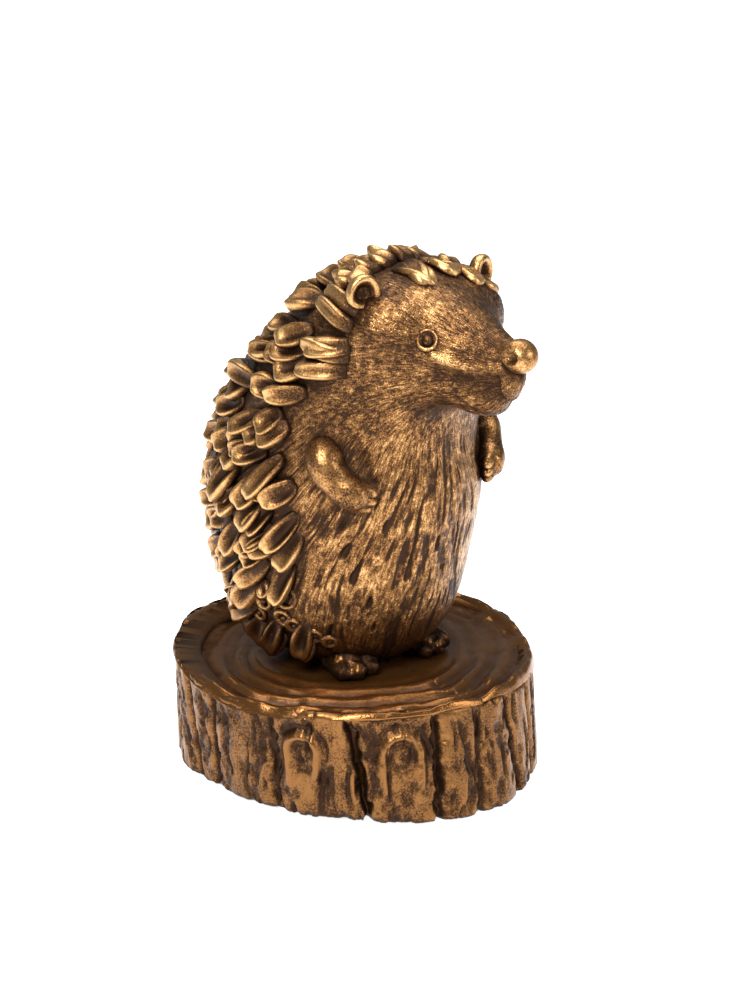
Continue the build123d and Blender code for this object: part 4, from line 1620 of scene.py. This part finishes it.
@dataclass
class Arm:
    """Arm against the chest: a bent tube with a mitten of three short fingers."""

    side: Side
    root_radius: float = 4.8
    wrist_radius: float = 3.9
    length: float = 20.0
    shoulder: tuple = (24.7, -14.7, 89.0)
    elbow: tuple = (0.07, -0.25, -0.45)
    wrist: tuple = (-0.25, -0.53, -0.62)
    radii: tuple = (0.7, 1.0, 0.95, 0.9, 1.0, 0.9)
    tuck: float = 2.4
    bumps: float = 0.25
    finger_gap: float = 2.0
    finger_length: float = 4.2
    finger_radius: float = 1.75

    def line(self, share: Array) -> Array:
        """Bezier line from the shoulder through the elbow's pull to the wrist.

        Args:
            share: shares of the way, 0 at the shoulder and 1 at the wrist.

        Returns:
            One point for each share.
        """
        flip = np.array([self.side.value, 1, 1])
        start = np.array(self.shoulder) * flip
        bend = start + np.array(self.elbow) * flip * self.length
        end = start + np.array(self.wrist) * flip * self.length
        t = share[:, None]
        return start * (1 - t) ** 2 + bend * 2 * t * (1 - t) + end * t * t

    def build(self, material: bpy.types.Material) -> None:
        """Arm and fingers as two pieces.

        Args:
            material: the pieces' finish.
        """
        share = np.linspace(-0.12, 1.08, 48)
        size = self.root_radius + (self.wrist_radius - self.root_radius) * np.clip(share, 0, 1)
        size = size * through(share, np.linspace(0, 1, len(self.radii)), self.radii)
        size = size * np.sqrt(np.clip(np.minimum((share + 0.12) / 0.16, (1.08 - share) / 0.12), 0.01, 1))
        line = self.line(share)
        line[:, 0] -= self.side.value * self.tuck * (1 - smooth_step(-0.12, 0.35, share))
        points, poles = tube(line, size, columns=44)
        bumps = self.bumps * (layered_noise(points / 3.0, 83, 2) - 0.5)
        points = points + bumps[..., None] * unit(points - line[:, None])
        put(f"{self.side.label}_arm_skin", [Shell(points, poles, grainy(points, size=1.6, seed=81))],
            material, [f"{self.side.label}_arm"])
        way = unit(line[-1] - line[-4])
        across = unit(np.cross(way, np.array([self.side.value, -1.0, 0.0])))
        fingers = []
        for place in (-1, 0, 1):
            start = line[-1] + across * place * self.finger_gap - way * 3.0
            reach = np.linspace(0, 1, 12)
            inward = np.array([self.side.value, 0, 0]) * (reach**2 * 0.6)[:, None]
            curve = start + way * (reach * (self.finger_length - 0.5 * abs(place)))[:, None] - inward
            radius = self.finger_radius * np.sqrt(np.clip(1 - reach**3, 0.02, 1))
            shell, ends = tube(curve, radius, columns=16)
            fingers.append(Shell(shell, ends, grainy(shell, size=1.2, seed=85, middle=0.7)))
        put(f"{self.side.label}_finger_tips", fingers,
            material, [f"{self.side.label}_fingers"])


@dataclass
class Foot:
    """Foot on the stump: a lumpy instep with three toes, and a hooked claw on each toe."""

    side: Side
    heel: tuple = (9.0, -3.0, 30.0)
    ball: tuple = (11.4, -9.5, 30.2)
    heel_size: tuple = (5.0, 6.0, 3.6)
    ball_size: tuple = (5.8, 5.4, 4.0)
    toe_spread: float = 3.8
    toe_length: float = 5.6
    toe_radius: float = 2.6
    claw_radius: float = 1.4
    claw_length: float = 3.0
    splay: float = 14.0
    floor_level: float = 27.3

    def axes(self) -> tuple[Array, Array]:
        """The foot's forward and sideways directions.

        Returns:
            Two unit vectors.
        """
        turn = math.radians(self.splay)
        ahead = np.array([self.side.value * math.sin(turn), -math.cos(turn), 0.0])
        return ahead, np.array([-ahead[1], ahead[0], 0.0])

    def toes(self) -> list[tuple[Array, Array]]:
        """Root and tip of each toe.

        Returns:
            Three pairs of points.
        """
        ahead, beside = self.axes()
        ball = np.array(self.ball) * [self.side.value, 1, 1]
        made = []
        for place in (-1, 0, 1):
            root = ball + beside * place * self.toe_spread * 0.7
            tip = ball + ahead * (self.toe_length - 1.2 * abs(place)) + beside * place * self.toe_spread
            made.append((root, tip - [0, 0, 1.0]))
        return made

    def build(self, material: bpy.types.Material) -> None:
        """Foot and claws as two pieces.

        Args:
            material: the pieces' finish.
        """
        flip = np.array([self.side.value, 1, 1])
        heel, ball = np.array(self.heel) * flip, np.array(self.ball) * flip
        toes = self.toes()

        def solid(p: Array) -> Array:
            """Heel and ball blended with the toes, rough, and cut flat underneath.

            Args:
                p: points, with 3 numbers each.

            Returns:
                One value for each point, below zero inside.
            """
            made = blend_min(egg(p, heel, self.heel_size), egg(p, ball, self.ball_size), 4.0)
            for root, tip in toes:
                made = blend_min(made, rod(p, root, tip, self.toe_radius, self.toe_radius * 0.85), 1.2)
            rough = 1.6 * (layered_noise(p / 2.2, 91, 2) - 0.5)
            return np.maximum(made - rough, self.floor_level - p[..., 2])

        points, poles = star(ball, solid, rows=70, columns=90, reach=22)
        relief = grainy(points, size=1.8, seed=93, middle=0.5, gain=0.9)
        put(f"{self.side.label}_foot_skin", [Shell(points, poles, relief)],
            material, [f"{self.side.label}_foot"])
        claws = []
        for root, tip in toes:
            way = unit(tip - root) * [1, 1, 0]
            share = np.linspace(0, 1, 16)
            hook = np.array([0, 0, 1.0]) * (0.9 - 2.2 * share**2)[:, None]
            curve = tip - way * 1.2 + way * (share * self.claw_length)[:, None] + hook
            curve[:, 2] = np.maximum(curve[:, 2], self.floor_level + 0.5)
            radius = self.claw_radius * (1 - share) ** 0.6 + 0.12
            shell, ends = tube(curve, radius, columns=16)
            claws.append(Shell(shell, ends, grainy(shell, size=1.2, seed=95, middle=0.75)))
        put(f"{self.side.label}_claw_hooks", claws, material, [f"{self.side.label}_claws"])


@dataclass
class Face:
    """Nose, eyes, ears and the tufts of fur over the brow."""

    form: HedgehogForm
    nose_radius: float = 3.9
    bridge_ends: tuple = ((0.6, 1.0, 0.6), (2.6, 8.0, 0.2))
    bridge_radii: tuple = (2.9, 1.6)
    dent_place: tuple = (3.9, -0.2, 0.5)
    dent_size: tuple = (1.5, 2.2, 1.5)
    eye_radius: float = 2.0
    lid_radius: float = 2.2
    lid_wire: float = 0.4
    eye_raise: float = 0.8
    eye_sink: float = 1.7
    ear_radius: float = 4.2
    ear_turn: float = 20.0
    ear_shift: tuple = (0.0, -1.2, -1.2)
    ear_shares: tuple = (0.0, 0.2, 0.36, 0.48, 0.56, 0.64, 0.76, 1.0)
    ear_reaches: tuple = (0.0, 0.3, 0.5, 0.68, 0.9, 1.0, 0.8, 0.0)
    ear_rises: tuple = (-0.7, -0.6, 0.3, 1.5, 1.5, 0.2, -1.6, -2.2)
    fringe: LobeStyle = LobeStyle(length=11.5, width=6.4, height=1.8, dish=0.6, lift=-0.02, root=0.9,
                                  sink=0.6, comb=0.2, ridges=0.9, spread=0.2, rows=12, top_columns=10)
    knobs: LobeStyle = LobeStyle(length=5.6, width=5.8, height=3.1, dish=0.2, lift=0.14, root=0.75, sink=0.6)

    fringe_feet: tuple = (-5.0, -1.4, 1.8, 4.8, 7.8, 10.8, 13.4)
    knob_places: tuple = ((-13.0, -15.0), (-8.0, -16.5), (-3.0, -17.0), (2.0, -16.5), (7.0, -16.5),
                          (12.0, -15.5), (-10.5, -11.0), (-5.0, -12.0), (0.5, -12.0), (6.0, -12.0),
                          (11.0, -11.0), (-13.5, -20.0), (14.0, -20.5))

    def nose(self, material: bpy.types.Material) -> None:
        """Nose ball with a dent for each nostril and a bridge back into the snout on each side.

        Args:
            material: the pieces' finish.
        """
        low, high = in_mm(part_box("nose_tip"))
        centre = np.array([0, low[1] + self.nose_radius, (low[2] + high[2]) / 2])

        def solid(p: Array) -> Array:
            """Ball, stretched back into the snout, less two small eggs.

            Args:
                p: points, with 3 numbers each.

            Returns:
                One value for each point, below zero inside.
            """
            mirrored = folded(p)
            ball = egg(p, centre, np.array([1.0, 1.0, 0.94]) * self.nose_radius)
            bridge = rod(mirrored, *(centre + np.array(self.bridge_ends)), *self.bridge_radii)
            dent = egg(mirrored, centre + self.dent_place, self.dent_size)
            return np.maximum(blend_min(ball, bridge, 2.0), -dent)

        points, poles = star(centre, solid, rows=56, columns=64, reach=9)
        relief = grainy(points, size=1.4, seed=101, middle=0.72, gain=0.4)
        put("nose_ball", [Shell(points, poles, relief)], material, ["nose_tip"])

    def eye(self, side: Side, material: bpy.types.Material) -> None:
        """Eye bead, and the lid as a ring whose wire is thicker below.

        Args:
            side: which of the hedgehog's sides.
            material: the pieces' finish.
        """
        low, high = in_mm(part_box(f"{side.label}_eye"))
        centre = (low + high) / 2 + np.array([0, 0, self.eye_raise])
        skin, out = (values[0] for values in self.form.settle(centre[None]))
        centre = skin - out * self.eye_sink
        points, poles = star(centre, lambda p: egg(p, centre, (self.eye_radius,) * 3),
                             rows=24, columns=32, reach=4)
        relief = grainy(points, size=1.2, seed=111, middle=0.45, gain=0.3)
        bead = [Shell(points, poles, relief)]
        put(f"{side.label}_eye_bead", bead, material, [f"{side.label}_eye"])
        points = rolled_ring(centre + out * (self.eye_radius - 0.45), out, self.lid_radius,
                             lambda turn: self.lid_wire * (1 - 0.25 * np.cos(turn)), 56)
        relief = grainy(points, size=1.0, seed=113, middle=0.75, gain=0.3)
        shell = Shell(points, np.zeros((0, 3)), relief)
        put(f"{side.label}_eye_lid", [shell], material, [f"{side.label}_eye_ring"])

    def ear(self, side: Side, material: bpy.types.Material) -> None:
        """Cupped ear: a profile from the middle of the cup over a rolled rim to the back, turned round.

        The radius grows towards the top, so that the outline is a broad leaf.

        Args:
            side: which of the hedgehog's sides.
            material: the pieces' finish.
        """
        low, high = in_mm(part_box(f"{side.label}_ear"))
        turn = math.radians(self.ear_turn)
        facing = unit(np.array([side.value * math.sin(turn), -math.cos(turn), -0.05]))
        across = unit(np.cross(facing, [0, 0, 1.0]))
        up = np.cross(across, facing)
        share = np.linspace(0.04, 0.96, 22)[:, None]
        angle = full_turn(44)[None, :]
        out = through(share, self.ear_shares, self.ear_reaches)
        rise = through(share, self.ear_shares, self.ear_rises)
        radius = out * self.ear_radius * (1 + 0.1 * np.cos(angle) + 0.04 * np.cos(3 * angle))
        centre = (low + high) / 2 + np.array(self.ear_shift)
        tall, wide = radius * np.cos(angle), radius * np.sin(angle)
        points = centre + tall[..., None] * up + wide[..., None] * across + rise[..., None] * facing
        points = points + 0.3 * (layered_noise(points / 2.4, 121, 2) - 0.5)[..., None] * facing
        relief = np.clip(0.62 + 0.35 * bell(share, 0.5, 0.16) + 0 * angle + 0.2 * (share > 0.6), 0, 1)
        poles = np.array([centre - facing * 0.7, centre - facing * 2.2])
        put(f"{side.label}_ear_cup", [Shell(points, poles, relief)],
            material, [f"{side.label}_ear"], subdivision=1)

    def tufts(self, material: bpy.types.Material) -> None:
        """Locks combed forward over the brow, and round knobs behind them up to the crown.

        Args:
            material: the pieces' finish.
        """
        draws = np.random.default_rng(5)
        x = np.array(self.fringe_feet)
        locks = self.on_crown(x, -18.5 - 0.02 * x * x, -1.0)
        shells = Lobes(self.form, self.fringe).shells(*locks, draws)
        places = np.array(self.knob_places)
        shells += Lobes(self.form, self.knobs).shells(*self.on_crown(places[:, 0], places[:, 1], 1.0), draws)
        put("brow_tufts", shells, material, ["forehead_tufts"], subdivision=1)

    def on_crown(self, x: Array, y: Array, back: float) -> tuple[Array, Array, Array]:
        """Feet, normals and flows of lobes on the top of the head.

        Args:
            x: the feet's distances from the middle, which turn the flow outwards.
            y: how far back they are.
            back: the flow's part along +Y.

        Returns:
            Points, normals and flows.
        """
        start, over = lattice(0.3 * x, y, 112.0), lattice(x, y, 127.0)
        point = self.form.skin(start, unit(over - start))
        normal = self.form.normals(point)
        return point, normal, in_plane(lattice(0.2 * x / 8, back), normal)

    def build(self, material: bpy.types.Material, locks: bpy.types.Material) -> None:
        """Everything on the face, in order.

        Args:
            material: the pieces' finish.
            locks: the tufts' finish.
        """
        self.nose(material)
        for side in Side:
            self.eye(side, material)
            self.ear(side, material)
        self.tufts(locks)


@dataclass
class Haunch:
    """Curls of fur on one haunch: rolled rings round beads, one large and the rest small, and locks."""

    form: HedgehogForm
    side: Side
    radius: float = 3.0
    wire: float = 0.95
    locks: LobeStyle = LobeStyle(length=5.0, width=3.8, height=2.3, dish=0.35, lift=0.1, root=0.7, sink=0.5)
    places: tuple = ((27.1, 3.1, 45.8), (25.6, -2.2, 42.3), (24.0, -4.6, 40.8), (21.2, -8.8, 38.7),
                     (18.7, -11.4, 37.4), (26.2, 6.5, 41.5), (22.6, -1.5, 37.2), (28.4, 2.0, 52.0))
    curls: tuple = (2.1, 1.9, 1.7, 1.7, 1.5, 1.9)

    def curl(self, centre: Array, out: Array, radius: float) -> list[Shell]:
        """A rolled ring that lies on the skin, and the bead inside it.

        Args:
            centre: middle of the ring, on the skin.
            out: outward normal there.
            radius: radius of the ring's line.

        Returns:
            The ring and the bead as closed shells.
        """
        thick = self.wire * (radius / self.radius) ** 0.1
        points = rolled_ring(centre + 0.1 * out, out, radius,
                             lambda turn: thick * (1 + 0.25 * np.sin(turn)), 48)
        ring = Shell(points, np.zeros((0, 3)), grainy(points, size=1.4, seed=131, middle=0.7))
        bead, poles = star(centre, lambda p: egg(p, centre, np.full(3, 0.5 * radius)),
                           rows=14, columns=20, reach=3)
        return [ring, Shell(bead, poles, grainy(bead, size=1.2, seed=133, middle=0.6))]

    def build(self, material: bpy.types.Material) -> None:
        """Ring, bead and locks as one piece.

        Args:
            material: the pieces' finish.
        """
        low, high = in_mm(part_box(f"{self.side.label}_haunch_curl"))
        places = np.array(self.places) * [self.side.value, 1, 1]
        foot, normal = self.form.settle(np.concatenate([(low + high)[None] / 2, places]))
        sizes = (self.radius, *self.curls)
        shells: list[Shell] = []
        for place, out, size in zip(foot, normal, sizes):
            shells += self.curl(place, out, size)
        foot, normal = foot[len(sizes):], normal[len(sizes):]
        flow = in_plane(np.array([0.0, -0.35, -1.0]), normal)
        shells += Lobes(self.form, self.locks).shells(foot, normal, flow, np.random.default_rng(9))
        put(f"{self.side.label}_haunch_locks", shells,
            material, [f"{self.side.label}_haunch_curl"], subdivision=1)


def dress_rest(frame: dict, gilt: bpy.types.Material, dowel: bpy.types.Material,
               felt: bpy.types.Material) -> None:
    """Finishes the nodes that stay as the frame has them.

    Args:
        frame: what the frame's loader gives.
        gilt: finish of cast pieces.
        dowel: finish of dowels.
        felt: finish of the pad.
    """
    for name, node in frame["nodes"].items():
        if node.hide_render:
            continue
        node.data.materials.clear()
        node.data.materials.append(felt if "felt" in name else dowel if "dowel" in name else gilt)


# studio


@dataclass(frozen=True)
class Studio:
    """Camera as the photograph has it, soft boxes, a pale floor and a grey room."""

    azimuth: float = -40.0
    pitch: float = 17.5
    distance: float = 512.0
    level: float = 227.84
    focal: float = 2179.0
    picture: tuple = (750, 1000)
    axis_column: float = 357.0
    aim: float = 70.0
    boxes: tuple = (("key_box", (-420, -260, 520), 300, 6.2), ("front_box", (260, -560, 330), 320, 2.0),
                    ("top_box", (60, 60, 620), 500, 3.6))
    room: str = "#E8E8E8"
    room_light: float = 0.24
    paper: str = "#F4F4F4"
    glow: float = 0.9
    half_floor: float = 6.0

    def camera(self) -> None:
        """Sets the camera from its distance, height, pitch and the stump's column in the picture."""
        turn, pitch = math.radians(self.azimuth), math.radians(self.pitch)
        back = np.array([math.sin(turn), -math.cos(turn), 0.0])
        offset = math.atan((self.axis_column - self.picture[0] / 2) / self.focal * math.cos(pitch))
        ahead = -back
        right = np.array([ahead[1], -ahead[0], 0.0])
        level = ahead * math.cos(offset) - right * math.sin(offset)
        look = level * math.cos(pitch) - np.array([0, 0, math.sin(pitch)])
        right = unit(np.array([look[1], -look[0], 0.0]))
        up = np.cross(right, look)
        place = (back * self.distance + [0, 0, self.level]) * MM
        data = bpy.data.cameras.new("photo_camera")
        data.sensor_width = 36.0
        data.lens = self.focal / max(self.picture) * data.sensor_width
        data.clip_start, data.clip_end = 0.01, 20.0
        camera = bpy.data.objects.new("photo_camera", data)
        axes = np.stack([right, up, -look], axis=1)
        rows = [list(axes[k]) + [place[k]] for k in range(3)] + [[0, 0, 0, 1]]
        camera.matrix_world = Matrix([[float(x) for x in row] for row in rows])
        bpy.context.scene.collection.objects.link(camera)
        bpy.context.scene.camera = camera

    def soft_box(self, name: str, place: tuple, size: float, power: float) -> None:
        """Square area light that faces the figure.

        Args:
            name: the light's name.
            place: where it stands, in mm.
            size: its side, in mm.
            power: its power in watts.
        """
        data = bpy.data.lights.new(name, "AREA")
        data.size, data.energy = size * MM, power
        light = bpy.data.objects.new(name, data)
        light.location = np.array(place) * MM
        z = unit(np.array(place) - np.array([0, 0, self.aim]))
        x = unit(np.cross([0, 0, 1.0], z))
        y = np.cross(z, x)
        direction = Matrix([[float(x[k]), float(y[k]), float(z[k])] for k in range(3)])
        light.rotation_euler = direction.to_euler()
        bpy.context.scene.collection.objects.link(light)

    def build(self) -> None:
        """Camera, lights, room and floor."""
        bpy.context.scene.view_settings.view_transform = "Standard"
        self.camera()
        for box in self.boxes:
            self.soft_box(*box)
        room = bpy.data.worlds.new("studio_room")
        room.use_nodes = True
        backdrop = room.node_tree.nodes["Background"]
        backdrop.inputs["Color"].default_value = linear(self.room)
        backdrop.inputs["Strength"].default_value = self.room_light
        bpy.context.scene.world = room
        mesh = bpy.data.meshes.new("floor")
        half = self.half_floor
        mesh.from_pydata([(-half, -half, 0), (half, -half, 0), (half, half, 0), (-half, half, 0)], [],
                         [(0, 1, 2, 3)])
        floor = bpy.data.objects.new("floor", mesh)
        bpy.context.scene.collection.objects.link(floor)
        paper, _, shader = blank("white_paper")
        shader.inputs["Base Color"].default_value = linear(self.paper)
        shader.inputs["Roughness"].default_value = 0.9
        shader.inputs["Emission Color"].default_value = (1, 1, 1, 1)
        shader.inputs["Emission Strength"].default_value = self.glow
        mesh.materials.append(paper)


def main(frame: dict) -> None:
    """Builds every piece in order.

    Args:
        frame: what the frame's loader gives.
    """
    logging.basicConfig(level=logging.INFO, format="%(name)s %(message)s")
    fur_gilt = FUR_GILT.material()
    quill_gilt = QUILL_GILT.material()
    detail_gilt = DETAIL_GILT.material()
    form = HedgehogForm()
    fur = Fur(form)
    TorsoSkin(form, fur).build(fur_gilt)
    HeadSkin(form, fur).build(fur_gilt)
    arms = [Arm(side) for side in Side]
    line = arms[1].line(np.linspace(0, 1, 6))
    QuillCoat(QuillLayout(form, arm_line=line)).build(quill_gilt)
    for arm in arms:
        arm.build(detail_gilt)
        Foot(arm.side).build(detail_gilt)
        Haunch(form, arm.side).build(detail_gilt)
    Face(form).build(detail_gilt, quill_gilt)
    stump = Stump()
    stump.bark(BARK_GILT.material())
    stump.top(RING_GILT.material())
    dress_rest(frame, detail_gilt, DowelFinish().material(), FeltFinish().material())
    Studio().build()


if __name__ == "__main__":
    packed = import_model()
    main(packed)
